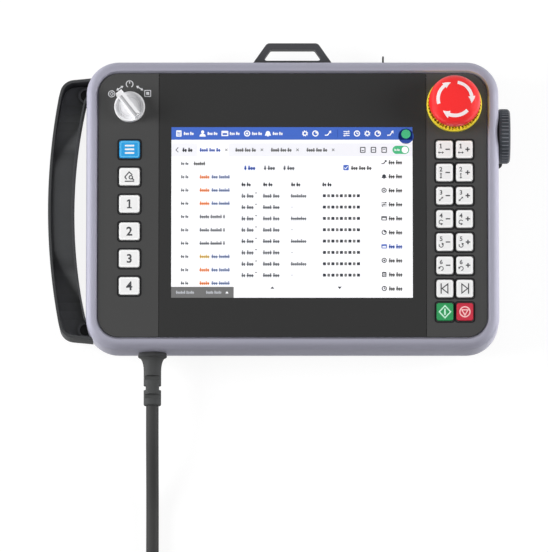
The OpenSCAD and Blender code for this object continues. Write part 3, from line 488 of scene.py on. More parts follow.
class Finish(Enum):
    """Every finish on the pendant."""

    FRAME = Painted("satin_painted_alloy", "#d1d0e2")
    # On the housing, grip, hanger and wheel the edge setting paints a highlight along the edges.
    HOUSING = Moulded("black_ABS_housing", "#3a3b3d", 0.55, edge_highlight=0.2)
    # The grip's floor setting paints light onto the up-facing floors of its hollow ends.
    GRIP = Moulded("black_PA_grip", "#4a4b4c", 0.82, edge_highlight=0.3,
                   floor_light=0.9)
    HANGER = Moulded("black_PA_hanger", "#47474a", 0.45, edge_highlight=0.2)
    FILM = Moulded("polyester_film", "#464646", 0.42, 0.5, 0.012, 40.0, 0.03, 0.1)
    GLASS = Moulded("printed_cover_glass", "#303030", 0.16, 3.0, 0.002, 60.0, 0.02,
                    0.15)
    KEY_WHITE = Moulded("white_ABS_key", "#f0f0f0", 0.42, 0.6, 0.008, 8.0, 0.015, 0.3)
    KEY_BLUE = Moulded("blue_ABS_key", "#2f9fe0", 0.4, 0.6, 0.008, 8.0, 0.03, 0.3)
    KEY_GREEN = Moulded("green_ABS_key", "#35995c", 0.4, 0.6, 0.008, 8.0, 0.03, 0.3)
    KEY_RED = Moulded("red_ABS_key", "#c93548", 0.4, 0.6, 0.008, 8.0, 0.03, 0.3)
    CAP = Moulded("red_PBT_cap", "#ff2f30", 0.32, 1.2, 0.012, 20.0, 0.03, 0.3,
                  coat=0.25)
    COLLAR = Moulded("yellow_PBT_collar", "#f7e23c", 0.36, 1.2, 0.012, 16.0, 0.03, 0.2,
                     coat=0.15)
    PLUNGER = Moulded("grey_POM_plunger", "#55565a", 0.4)
    KNOB = Moulded("light_grey_ABS_knob", "#eeeef0", 0.4, 0.6, 0.008, 10.0, 0.02, 0.3)
    WHEEL = Moulded("slate_ABS_wheel", "#474b51", 0.4, 0.8, 0.01, edge_highlight=0.35)
    BLOCK = Moulded("black_switch_body", "#2a2b2e", 0.5)
    NUT = Moulded("grey_nut", "#b9bcc0", 0.5)
    PADDLE = Moulded("grey_PA_paddle", "#5c5d60", 0.55)
    SEAL = Moulded("black_EPDM_seal", "#1c1c1e", 0.75, 1.2, 0.05)
    TAPE = Moulded("black_foam_tape", "#202022", 0.85, 0.8, 0.08)
    MAT = Moulded("translucent_silicone_mat", "#d9d9d4", 0.6, 1.5, 0.03)
    FOOT = Moulded("black_rubber_foot", "#222224", 0.8, 1.0, 0.05)
    BOOT = Moulded("black_TPE_boot", "#484949", 0.55, 1.2, 0.04)
    COVER = Moulded("black_rubber_cover", "#3a3b3c", 0.65, 1.0, 0.04)
    SHEATH = Moulded("black_PUR_sheath", "#3e3e3e", 0.48, 1.4, 0.03, 30.0, 0.05)
    PLUG = Moulded("black_PA_plug", "#2a2b2e", 0.5)
    STEEL = Metal("zinc_plated_steel", "#9a9da2", 0.34)
    SHEET = Metal("display_sheet_steel", "#9a9da3", 0.4, 0.8)
    BRASS = Metal("turned_brass", "#b08d4a", 0.3)
    RING = Metal("anodised_aluminium", "#9a9da3", 0.36, 0.5, (12.0, 1.0, 1.0))
    BOARD = Board()
    STRAP = Strap()
    INK_DARK = Ink("dark_grey_ink", "#4a4b4e")
    INK_LIGHT = Ink("light_grey_ink", "#d8d9dc")
    INK_WHITE = Ink("white_ink", "#f4f4f4")
    INK_MINT = Ink("mint_ink", "#c9f5dc")
    INK_ROSE = Ink("rose_ink", "#ffc4c4")
    # Painted highlights round the tops of the white keys and the blue key.
    LIP_WHITE = Ink("white_key_lip", "#ffffff")
    LIP_BLUE = Ink("blue_key_lip", "#63bdec")
    # Painted shade in the hollows of the stop collar.
    INK_HOLLOW = Ink("painted_hollow_shade", "#5d4a12")
    # Painted highlights on the jog wheel's rib crests.
    INK_TICK = Ink("painted_rib_crest_highlight", "#8b9097")
    # Painted shade on the knob bar's flank: this ink and the next are its darker and lighter
    # strips.
    INK_SHADE = Ink("painted_flank_shade", "#a4a4a7")
    INK_SOFT = Ink("painted_flank_half_shade", "#c4c4c7")
    # Painted highlight on the grip lugs' top rims.
    INK_LUG = Ink("painted_lug_rim_highlight", "#a6a7aa")
    INK_CAP = Ink("white_pad_print", "#fff0f0")
    # Painted shadow in the gaps round the keys.
    INK_GAP = Ink("shadow_gap", "#1d1d1f", 0.9)
    # Painted shade standing in for the screws' recesses.
    INK_BLACK = Ink("painted_recess_shade", "#101011", 0.9)
    LCD_WHITE = Pixels("lit_white", "#fafafc")
    LCD_PALE = Pixels("lit_pale_grey", "#ececf2")
    LCD_BLUE = Pixels("lit_blue", "#4568c0")
    LCD_NAVY = Pixels("lit_navy", "#2f4c9c")
    LCD_GREEN = Pixels("lit_green", "#48b47e")
    LCD_GREY = Pixels("lit_grey", "#707070")
    LCD_DARK = Pixels("lit_dark", "#3a3d44")
    LCD_MID = Pixels("lit_mid_grey", "#9da0a6")
    LCD_NUM = Pixels("lit_number_grey", "#83868c")
    LCD_SOFT = Pixels("lit_soft_grey", "#c9cbd0")
    LCD_ORANGE = Pixels("lit_orange", "#f0965a")
    LCD_YELLOW = Pixels("lit_yellow", "#e0c060")
    LCD_STEEL = Pixels("lit_blue_grey", "#7e8fb8")

    def get(self) -> Any:
        """Return the finish's material, built once."""
        made = bpy.data.materials.get(self.value.name)
        return made or self.value.material()


# ---------------------------------------------------------------- flat art


def circle(x: float, y: float, r: float, n: int = 40, a0: float = 0.0) -> Array:
    """Points (x + r cos t, y + r sin t) for n equal steps of t from a0 degrees."""
    t = math.radians(a0) + np.arange(n) * TURN / n
    return np.stack([x + r * np.cos(t), y + r * np.sin(t)], 1)


def box_outline(x: float, y: float, w: float, h: float, r: float = 0.0, n: int = 6) -> Array:
    """A rounded rectangle about (x, y): each corner is an arc of radius r."""
    if r <= 0:
        return np.array([[x - w / 2, y - h / 2], [x + w / 2, y - h / 2],
                         [x + w / 2, y + h / 2], [x - w / 2, y + h / 2]])
    t = np.linspace(0.0, math.pi / 2, n)
    quarter = np.stack([np.cos(t), np.sin(t)], 1) * r
    out = []
    for k, (sx, sy) in enumerate([(1, 1), (-1, 1), (-1, -1), (1, -1)]):
        c, s = math.cos(k * math.pi / 2), math.sin(k * math.pi / 2)
        turned = quarter @ np.array([[c, s], [-s, c]])
        out.append(turned + [x + sx * (w / 2 - r), y + sy * (h / 2 - r)])
    return np.concatenate(out)


def arc(x: float, y: float, r: float, a0: float, a1: float, n: int = 24) -> Array:
    """Points on a circle about (x, y) from angle a0 to a1, in degrees."""
    t = np.radians(np.linspace(a0, a1, n))
    return np.stack([x + r * np.cos(t), y + r * np.sin(t)], 1)


@dataclass
class Art:
    """Flat shapes in several inks, gathered into one mesh.

    A shape is a filled outline, or a band between two outlines of as many points. Each
    shape lies a hundredth of a millimetre above the one before it in its stack.
    """

    z: float = PANEL_Z
    lift: float = 0.02
    points: list[Array] = field(default_factory=list)
    faces: list[list[int]] = field(default_factory=list)
    inks: list[Finish] = field(default_factory=list)
    slots: list[int] = field(default_factory=list)
    count: int = 0

    def _put(self, flat: Array, faces: Iterable[Iterable[int]], ink: Finish, level: int) -> None:
        """Add points at a level, and faces that number them from 0."""
        height = self.z + self.lift + 0.012 * level
        self.points.append(np.column_stack([flat, np.full(len(flat), height)]))
        if ink not in self.inks:
            self.inks.append(ink)
        rows = [[int(v) + self.count for v in f] for f in faces]
        self.faces += rows
        self.slots += [self.inks.index(ink)] * len(rows)
        self.count += len(flat)

    def fill(self, outline: Array, ink: Finish, level: int = 0) -> "Art":
        """Fill an outline, turned so that its face points up.

        Args:
            outline: n by 2 points, either way round.
            ink: its finish.
            level: its place in the stack.

        Returns:
            The art itself.
        """
        p = np.asarray(outline, float)
        q = np.roll(p, -1, 0)
        if np.sum(p[:, 0] * q[:, 1] - q[:, 0] * p[:, 1]) < 0:
            p = p[::-1]
        self._put(p, [range(len(p))], ink, level)
        return self

    def band(self, a: Array, b: Array, ink: Finish, level: int = 0, closed: bool = True) -> "Art":
        """Fill the band between two outlines of n points each, with a quad per step."""
        n = len(a)
        steps = n if closed else n - 1
        i = np.arange(steps)
        j = (i + 1) % n
        quads = np.stack([i, j, j + n, i + n], 1)
        flat = np.concatenate([a, b])
        one = flat[quads[0]]
        nxt = np.roll(one, -1, 0)
        if np.sum(one[:, 0] * nxt[:, 1] - nxt[:, 0] * one[:, 1]) < 0:
            quads = quads[:, ::-1]
        self._put(flat, quads, ink, level)
        return self

    def stroke(self, path: Any, width: float, ink: Finish, level: int = 0,
               closed: bool = False) -> "Art":
        """Draw a line of a given width: each point moves half the width both ways along
        the mitre of its two neighbours' normals."""
        p = np.asarray(path, float)
        ahead = np.roll(p, -1, 0) - p
        back = p - np.roll(p, 1, 0)
        if not closed:
            ahead[-1] = back[-1]
            back[0] = ahead[0]
        unit = [v / np.maximum(np.linalg.norm(v, axis=1, keepdims=True), 1e-9)
                for v in (ahead, back)]
        mid = unit[0] + unit[1]
        mid /= np.maximum(np.linalg.norm(mid, axis=1, keepdims=True), 1e-9)
        side = np.stack([-mid[:, 1], mid[:, 0]], 1)
        stretch = np.clip(np.sum(mid * unit[0], 1, keepdims=True), 0.4, 1.0)
        off = side * width / 2 / stretch
        return self.band(p + off, p - off, ink, level, closed)

    def ring(self, x: float, y: float, r: float, width: float, ink: Finish,
             level: int = 0) -> "Art":
        """Draw a circle's line about (x, y) with its outer radius r."""
        return self.band(circle(x, y, r), circle(x, y, r - width), ink, level)

    def frame(self, x: float, y: float, w: float, h: float, width: float, ink: Finish,
              level: int = 0, r: float = 0.6) -> "Art":
        """Draw a rounded rectangle's line inside the size w by h."""
        return self.band(box_outline(x, y, w, h, r),
                         box_outline(x, y, w - 2 * width, h - 2 * width, max(r - width, 0.05)),
                         ink, level)

    def rect(self, x: float, y: float, w: float, h: float, ink: Finish, level: int = 0,
             r: float = 0.0) -> "Art":
        """Fill a rectangle about (x, y), with corners of radius r."""
        return self.fill(box_outline(x, y, w, h, r), ink, level)

    def text(self, words: str, x: float, y: float, size: float, ink: Finish, level: int = 0,
             bold: float = 0.0) -> "Art":
        """Set numerals about (x, y), as flat faces.

        Args:
            words: the numerals or signs.
            x: their centre.
            y: their centre.
            size: height of a numeral.
            ink: their finish.
            level: their place in the stack.
            bold: how far their outline is swollen, as a share of the type size.

        Returns:
            The art itself.
        """
        curve = bpy.data.curves.new("numerals", "FONT")
        curve.body = words
        curve.resolution_u = 3
        curve.offset = bold
        holder = bpy.data.objects.new("numerals", curve)
        bpy.context.scene.collection.objects.link(holder)
        graph = bpy.context.evaluated_depsgraph_get()
        mesh = bpy.data.meshes.new_from_object(holder.evaluated_get(graph))
        flat = np.zeros(len(mesh.vertices) * 3)
        mesh.vertices.foreach_get("co", flat)
        flat = flat.reshape(-1, 3)[:, :2]
        low, high = flat.min(0), flat.max(0)
        flat = (flat - (low + high) / 2) * (size / max(high[1] - low[1], 1e-6))
        faces = [list(p.vertices) for p in mesh.polygons]
        if mesh.polygons and mesh.polygons[0].normal.z < 0:
            faces = [f[::-1] for f in faces]
        self._put(flat + [x, y], faces, ink, level)
        bpy.data.objects.remove(holder)
        bpy.data.curves.remove(curve)
        bpy.data.meshes.remove(mesh)
        return self

    def piece(self, name: str, body: str, slot: str) -> Any:
        """Make the object.

        Args:
            name: the piece's name.
            body: the body it moves with.
            slot: the record's material slot; not used.

        Returns:
            The new object.
        """
        return mesh_object(name, np.concatenate(self.points), self.faces,
                           [ink.get() for ink in self.inks], body, np.array(self.slots))


# ---------------------------------------------------------------- studio


@dataclass
class Studio:
    """Camera, lamps, table and backdrop round the pendant."""

    centre: tuple[float, float, float] = (-12.5, -48.45, 44.0)
    frame_w: float = 368.3
    tilt: float = 8.6
    lens: float = 500.0
    sensor: float = 36.0
    fill: float = 0.14
    ceiling: float = 0.3
    front_flag: float = 0.12
    rear_flag: float = 0.42
    table_glow: float = 1.06

    def camera(self) -> None:
        """Place a very long lens square to the panel's width, tilted towards the cable
        side; its distance is the frame's width times lens over sensor."""
        data = bpy.data.cameras.new("camera")
        data.lens, data.sensor_width, data.sensor_fit = self.lens, self.sensor, "HORIZONTAL"
        data.clip_end = 50.0
        far = self.frame_w * MM * self.lens / self.sensor
        t = math.radians(self.tilt)
        eye = np.array(self.centre) * MM + far * np.array([0.0, -math.sin(t), math.cos(t)])
        camera = bpy.data.objects.new("camera", data)
        camera.location = eye.tolist()
        camera.rotation_euler = (t, 0.0, 0.0)
        bpy.context.scene.collection.objects.link(camera)
        bpy.context.scene.camera = camera

    def lamp(self, name: str, at: tuple[float, float, float], size: tuple[float, float],
             watts: float) -> None:
        """Hang a soft rectangular lamp that faces the pendant's middle. Gloss mirrors
        the backdrop and not the lamp.

        Args:
            name: the lamp's name.
            at: its place, in metres.
            size: its width and height, in metres.
            watts: its power.
        """
        data = bpy.data.lights.new(name, "AREA")
        data.shape, data.size, data.size_y, data.energy = "RECTANGLE", size[0], size[1], watts
        lamp = bpy.data.objects.new(name, data)
        lamp.location = at
        to = -np.array(at)
        yaw = math.atan2(to[1], to[0]) - math.pi / 2
        pitch = math.atan2(math.hypot(to[0], to[1]), -to[2])
        lamp.rotation_euler = (pitch, 0.0, yaw)
        lamp.visible_glossy = False
        bpy.context.scene.collection.objects.link(lamp)

    def lights(self) -> None:
        """Two wide boxes, low at the left and right and stronger at the left, so that the
        sides of the rim are bright and its ends dim, and a weak one behind. Nothing hangs
        where the flat panel would mirror it."""
        for name, side, watts in (("left_box", -1.0, 40.0), ("right_box", 1.0, 28.0)):
            self.lamp(name, (1.65 * side, 0.0, 0.85), (0.9, 1.0), watts)
        self.lamp("rear_box", (0.0, 1.5, 1.3), (1.2, 0.6), 2.0)

    def world(self) -> None:
        """A white backdrop round the table, seen or mirrored, under a dim ceiling. The
        backdrop's strength is 1 up to a height of 0.15 of the way to overhead and falls
        smoothly to the ceiling's at half way; other rays get the plain fill."""
        world = bpy.data.worlds.new("studio")
        world.use_nodes = True
        tree = world.node_tree
        tree.nodes.clear()
        aim = add(tree, "ShaderNodeTexCoord").outputs["Generated"]
        part = add(tree, "ShaderNodeSeparateXYZ", {0: aim})
        level = add(tree, "ShaderNodeMapRange", {
            "Value": part.outputs["Z"], "From Min": 0.15, "From Max": 0.5, "To Min": 1.0,
            "To Max": self.ceiling}, interpolation_type="SMOOTHSTEP")
        seen_level = add(tree, "ShaderNodeMath", {
            0: level.outputs["Result"], 1: self.flagged(tree, part.outputs["Y"], 0.3, 0.8)},
            operation="MULTIPLY")
        fill = add(tree, "ShaderNodeBackground", {"Strength": self.fill})
        seen = add(tree, "ShaderNodeBackground", {"Strength": seen_level.outputs[0]})
        pick = add(tree, "ShaderNodeMixShader", {
            0: self.shown(tree), 1: fill.outputs[0], 2: seen.outputs[0]})
        for back in (fill, seen):
            back.inputs["Color"].default_value = (1.0, 1.0, 1.0, 1.0)
        add(tree, "ShaderNodeOutputWorld", {"Surface": pick.outputs[0]})
        bpy.context.scene.world = world

    def flagged(self, tree: Any, along: Any, near: float, far: float) -> Any:
        """The dark flag in front of the pendant and the grey one behind it, that only
        its gloss mirrors.

        Args:
            tree: the node tree.
            along: a socket that runs from front to back, with 0 at the pendant's middle.
            near: where the flags begin to either side of the middle.
            far: where they are at full depth.

        Returns:
            A socket that is 1 for every ray but a mirrored one, which goes smoothly to
            a flag's level from near to far.
        """
        low, high = (add(tree, "ShaderNodeMapRange", {
            "Value": along, "From Min": side * near, "From Max": side * far, "To Min": 1.0,
            "To Max": level}, interpolation_type="SMOOTHSTEP").outputs["Result"]
            for side, level in ((-1.0, self.front_flag), (1.0, self.rear_flag)))
        both = add(tree, "ShaderNodeMath", {0: low, 1: high}, operation="MULTIPLY")
        path = add(tree, "ShaderNodeLightPath")
        return add(tree, "ShaderNodeMix", {
            "Factor": path.outputs["Is Glossy Ray"], 2: 1.0, 3: both.outputs[0]}).outputs[0]

    def shown(self, tree: Any) -> Any:
        """Return a socket that is 1 for rays that are seen, mirrored or let through."""
        path = add(tree, "ShaderNodeLightPath")
        some = add(tree, "ShaderNodeMath", {
            0: path.outputs["Is Camera Ray"], 1: path.outputs["Is Glossy Ray"]},
            operation="MAXIMUM")
        return add(tree, "ShaderNodeMath", {
            0: some.outputs[0], 1: path.outputs["Is Transmission Ray"]},
            operation="MAXIMUM").outputs[0]

    def table(self) -> None:
        """A wide white table top at the height the pendant's feet rest on."""
        half = 6000.0
        mesh = bpy.data.meshes.new("table")
        mesh.from_pydata([(x * half * MM, y * half * MM, -0.0004)
                          for x, y in ((-1, -1), (1, -1), (1, 1), (-1, 1))], [], [(0, 1, 2, 3)])
        mat, tree = new_material("white_laminate_table")
        where = add(tree, "ShaderNodeTexCoord").outputs["Object"]
        tone = add(tree, "ShaderNodeTexNoise", {"Vector": where, "Scale": 30.0})
        tint = add(tree, "ShaderNodeMix", {
            "Factor": tone.outputs["Fac"], 6: (0.93, 0.93, 0.93, 1.0),
            7: (0.96, 0.96, 0.96, 1.0)}, data_type="RGBA")
        lit = add(tree, "ShaderNodeBsdfDiffuse", {"Color": tint.outputs[2]})
        deep = add(tree, "ShaderNodeSeparateXYZ", {0: where}).outputs["Y"]
        strength = add(tree, "ShaderNodeMath", {
            0: self.table_glow, 1: self.flagged(tree, deep, 0.088, 0.11)}, operation="MULTIPLY")
        glow = add(tree, "ShaderNodeEmission", {"Strength": strength.outputs[0]})
        both = add(tree, "ShaderNodeMixShader", {
            0: 0.84, 1: lit.outputs[0], 2: glow.outputs[0]})
        pick = add(tree, "ShaderNodeMixShader", {
            0: self.shown(tree), 1: lit.outputs[0], 2: both.outputs[0]})
        add(tree, "ShaderNodeOutputMaterial", {"Surface": pick.outputs[0]})
        mesh.materials.append(mat)
        table = bpy.data.objects.new("table", mesh)
        bpy.context.scene.collection.objects.link(table)

    def build(self) -> None:
        """Set up the whole studio."""
        self.lights()
        self.world()
        self.table()
        bpy.context.scene.view_settings.view_transform = "Standard"


# ---------------------------------------------------------------- cable


@dataclass
class CableRun:
    """The cable from the boot, along the table, wound into a coil and out to its plug."""

    x: float = -94.4
    boot_end: float = -133.6
    diameter: float = 8.5
    drop_y: tuple[float, ...] = (0, 4, 8, 13, 18, 23, 28, 34, 40, 46, 52, 57, 63, 68, 74,
                                 80, 85, 94, 103, 113, 124, 137)
    drop_z: tuple[float, ...] = (22, 22, 22, 21.75, 21.2, 20.1, 18.6, 16.4, 14, 11.6, 9.4,
                                 7.6, 6, 5.1, 4.6, 4.35, 4.25, 4.25, 4.25, 4.25, 4.25, 4.25)
    coil_gap: float = 172.0
    first_r: float = 36.0
    turns: int = 4
    layers: int = 4
    tail_x: tuple[float, ...] = (12, 24, 36, 48, 60, 72, 84, 94, 102)
    tail_z: tuple[float, ...] = (29.75, 29.75, 29.0, 26.0, 21.0, 16.0, 13.0, 12.0, 12.0)

    def winding(self) -> Array:
        """The coil's centreline, from the cable's side to the plug's.

        The angle grows steadily from the side the cable comes in at. Through most of a
        turn the radius and height stay; over the last fifth the radius moves on by one
        diameter or, at a layer's end, the height does, by a smooth step.

        Returns:
            Points, in millimetres.
        """
        d = self.diameter
        total = self.turns * self.layers - 0.75
        t = np.linspace(0.0, total, int(total * 44))
        n = np.floor(t).astype(int)
        s = np.clip((t - n - 0.76) / 0.2, 0.0, 1.0)
        s = s * s * (3.0 - 2.0 * s)

        def ring(k: Array) -> tuple[Array, Array]:
            """The radius and height of turn number k."""
            layer, place = k // self.turns, k % self.turns
            inward = layer % 2 == 0
            step = np.where(inward, self.turns - 1 - place, place)
            return self.first_r + d * step, d * (layer + 0.5)

        r0, z0 = ring(n)
        r1, z1 = ring(np.minimum(n + 1, self.turns * self.layers - 1))
        r, z = r0 + (r1 - r0) * s, z0 + (z1 - z0) * s
        a = math.pi + TURN * t
        last = self.first_r + d * (self.turns - 1)
        cx, cy = self.x + last, self.boot_end - self.coil_gap
        return np.stack([cx + r * np.cos(a), cy + r * np.sin(a), z], 1)

    def centreline(self) -> Array:
        """The whole route: down to the table, into the coil, and out to the plug."""
        down = np.stack([np.full(len(self.drop_y), self.x),
                         self.boot_end - np.array(self.drop_y), np.array(self.drop_z)], 1)
        coil = self.winding()
        cx = self.x + self.first_r + self.diameter * (self.turns - 1)
        y = self.boot_end - self.coil_gap - (self.first_r + self.diameter * (self.turns - 1))
        out = np.stack([cx + np.array(self.tail_x), np.full(len(self.tail_x), y),
                        np.array(self.tail_z)], 1)
        return np.concatenate([down, coil, out])

    def build(self, frame: dict[str, Any]) -> None:
        line = self.centreline()
        curve = bpy.data.curves.new("cable_run", "CURVE")
        curve.dimensions = "3D"
        curve.bevel_depth = self.diameter / 2 * MM
        curve.bevel_resolution = 4
        curve.resolution_u = 1
        curve.use_fill_caps = True
        spline = curve.splines.new("POLY")
        spline.points.add(len(line) - 1)
        spline.points.foreach_set(
            "co", np.column_stack([line * MM, np.ones(len(line))]).ravel())
        spline.use_smooth = True
        curve.materials.append(Finish.SHEATH.get())
        run = bpy.data.objects.new("cable_run", curve)
        bpy.context.scene.collection.objects.link(run)
        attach(run, ROOT)
        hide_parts("cable", "cable_coil", "cable_tail")
        for node, finish in (("coil_tie", Finish.STRAP), ("plug_body", Finish.PLUG),
                             ("plug_ring", Finish.RING), ("cable_boot", Finish.BOOT)):
            dress(node, finish.get(), frame)


# ---------------------------------------------------------------- housing and panel


@dataclass
class Housing:
    """The frame, the rear shell and what is fixed to them."""

    finishes: tuple[tuple[str, Finish], ...] = (
        ("front_frame", Finish.FRAME), ("rear_housing", Finish.HOUSING),
        ("housing_seal", Finish.SEAL), ("rear_feet", Finish.FOOT),
        ("rear_screws", Finish.STEEL), ("hand_grip", Finish.GRIP),
        ("grip_screws", Finish.BLOCK), ("hanger_loop", Finish.HANGER),
        ("hanger_screws", Finish.STEEL), ("enabling_paddle", Finish.PADDLE),
        ("enabling_switch", Finish.BLOCK), ("usb_cover", Finish.COVER),
        ("usb_port", Finish.STEEL), ("jog_wheel", Finish.WHEEL),
        ("jog_bush", Finish.BRASS), ("jog_encoder", Finish.BLOCK),
        ("lcd_module", Finish.SHEET), ("main_board", Finish.BOARD),
        ("key_boards", Finish.BOARD), ("key_mats", Finish.MAT),
        ("panel_tape", Finish.TAPE), ("touch_glass", Finish.GLASS),
        ("left_key_plate", Finish.FILM), ("right_key_plate", Finish.FILM),
        ("stop_nut", Finish.NUT), ("stop_contact_block", Finish.BLOCK),
        ("stop_plunger", Finish.PLUNGER), ("stop_collar", Finish.COLLAR),
        ("stop_cap", Finish.CAP), ("mode_switch", Finish.BLOCK),
        ("mode_knob", Finish.KNOB))
    screw_x: tuple[float, ...] = (-117.0, -34.0, 34.0, 117.0)
    screw_y: float = 91.0
    head_z: float = 8.0

    def socket_shade(self) -> None:
        """Painted shade for the six-lobed recesses in the rear screws: a near-black flat shape
        whose radius is 1.15 mm plus 0.18 mm times the cosine of six times the angle, facing the
        rear."""
        a = np.arange(48) * TURN / 48
        r = 1.15 + 0.18 * np.cos(6 * a)
        lobes = np.stack([r * np.cos(a), r * np.sin(a)], 1)
        points, faces = [], []
        for x in self.screw_x:
            for y in (-self.screw_y, self.screw_y):
                start = 48 * len(points)
                points.append(np.column_stack([lobes + [x, y], np.full(48, self.head_z - 0.02)]))
                faces.append([start + k for k in range(47, -1, -1)])
        mesh_object("rear_screw_socket_shade", np.concatenate(points), faces,
                    [Finish.INK_BLACK.get()], ROOT)

    def build(self, frame: dict[str, Any]) -> None:
        """Dress every fixed and inner piece, and paint shade where the screws' recesses are."""
        for node, finish in self.finishes:
            dress(node, finish.get(), frame)
        self.socket_shade()


@dataclass
class GripLugs:
    """Painted highlights on the top rims of the grip's two screw lugs, down in its hollow ends."""

    head_r: float = 3.5
    rim_r: float = 4.6
    width: float = 0.8
    lug_z: float = 11.2

    def build(self) -> None:
        """Lay a pale ring on the top of each lug, round its screw's head, as a painted highlight.
        """
        low, high = (np.array(v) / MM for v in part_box("grip_screws"))
        x = float(low[0] + high[0]) / 2.0
        art = Art(self.lug_z, 0.02)
        for y in (low[1] + self.head_r, high[1] - self.head_r):
            art.ring(x, float(y), self.rim_r, self.width, Finish.INK_LUG, 1)
        art.piece("grip_lug_rim_highlights", ROOT, "grip_plastic")


@dataclass
class ThumbWheel:
    """The painted scoop that clears the jog wheel, and painted highlights on the wheel's rib
    crests.
    """

    edge_x: float = 139.0
    y: float = 50.0
    z: float = 24.2
    face_x: float = 139.3
    ball_r: float = 16.42
    ball_x: float = 152.0
    edge_r: float = 6.0
    edge_z: float = 39.2
    dip: float = 2.2
    bend: float = 1.4
    hair: float = 0.02
    wheel_r: float = 18.5
    ribs: int = 44
    crest_w: float = 0.4
    crest_x: tuple[float, float] = (2.0, 6.4)
    crest_lift: float = 0.03

    def scoop(self) -> None:
        """A soft dish over the crescent between the ball's rim, at (x - xc)^2 + (y - yc)^2
        = R^2, and the body's side: it leaves the rim's rounded edge by a depth that grows
        with a power, bend, of the way across, and lies a hair under it at the start."""
        rows, cols = 40, 10
        reach = math.sqrt(self.ball_r ** 2 - (self.ball_x - self.edge_x) ** 2) - 0.05
        v = np.linspace(-reach, reach, rows)[:, None]
        rim = self.ball_x - np.sqrt(self.ball_r ** 2 - v ** 2) + self.hair
        u = np.linspace(0.0, 1.0, cols)[None, :]
        x = rim + (self.edge_x - 0.08 - rim) * u
        y = v + 0.0 * u
        level = self.edge_z - self.hair + np.sqrt(
            self.edge_r ** 2 - (x - self.edge_x + self.edge_r) ** 2)
        depth = self.dip * u ** self.bend * (1.0 - (y / reach) ** 2)
        grid = np.stack([x, self.y + y, level - depth], 2).reshape(-1, 3)
        a = cells(rows, cols)
        faces = np.stack([a, a + 1, a + cols + 1, a + cols], 1).tolist()
        mesh_object("wheel_scoop", grid, faces, [Finish.FRAME.get()], ROOT, smooth=True)

    def crests(self) -> None:
        """A pale strip on each rib's crest, a painted highlight: it runs along the axis and lies
        on the wheel's round, y = r cos a and z = r sin a from the axis."""
        turn = 2.0 * math.pi * (np.arange(self.ribs) + 0.5) / self.ribs
        half = self.crest_w / 2.0 / self.wheel_r
        x = self.face_x + np.array(self.crest_x)
        ang = turn[:, None] + np.array([-half, half])
        r = self.wheel_r + self.crest_lift
        flat = np.stack([self.y + r * np.cos(ang), self.z + r * np.sin(ang)], 2)
        grid = np.stack([np.concatenate([np.full((self.ribs, 2, 1), q), flat], 2) for q in x], 1)
        a = np.arange(self.ribs) * 4
        mesh_object("wheel_rib_crest_highlights", grid.reshape(-1, 3),
                    np.stack([a, a + 1, a + 3, a + 2], 1).tolist(),
                    [Finish.INK_TICK.get()], "jog_wheel")

    def build(self) -> None:
        """Make the scoop and the painted rib highlights."""
        self.scoop()
        self.crests()


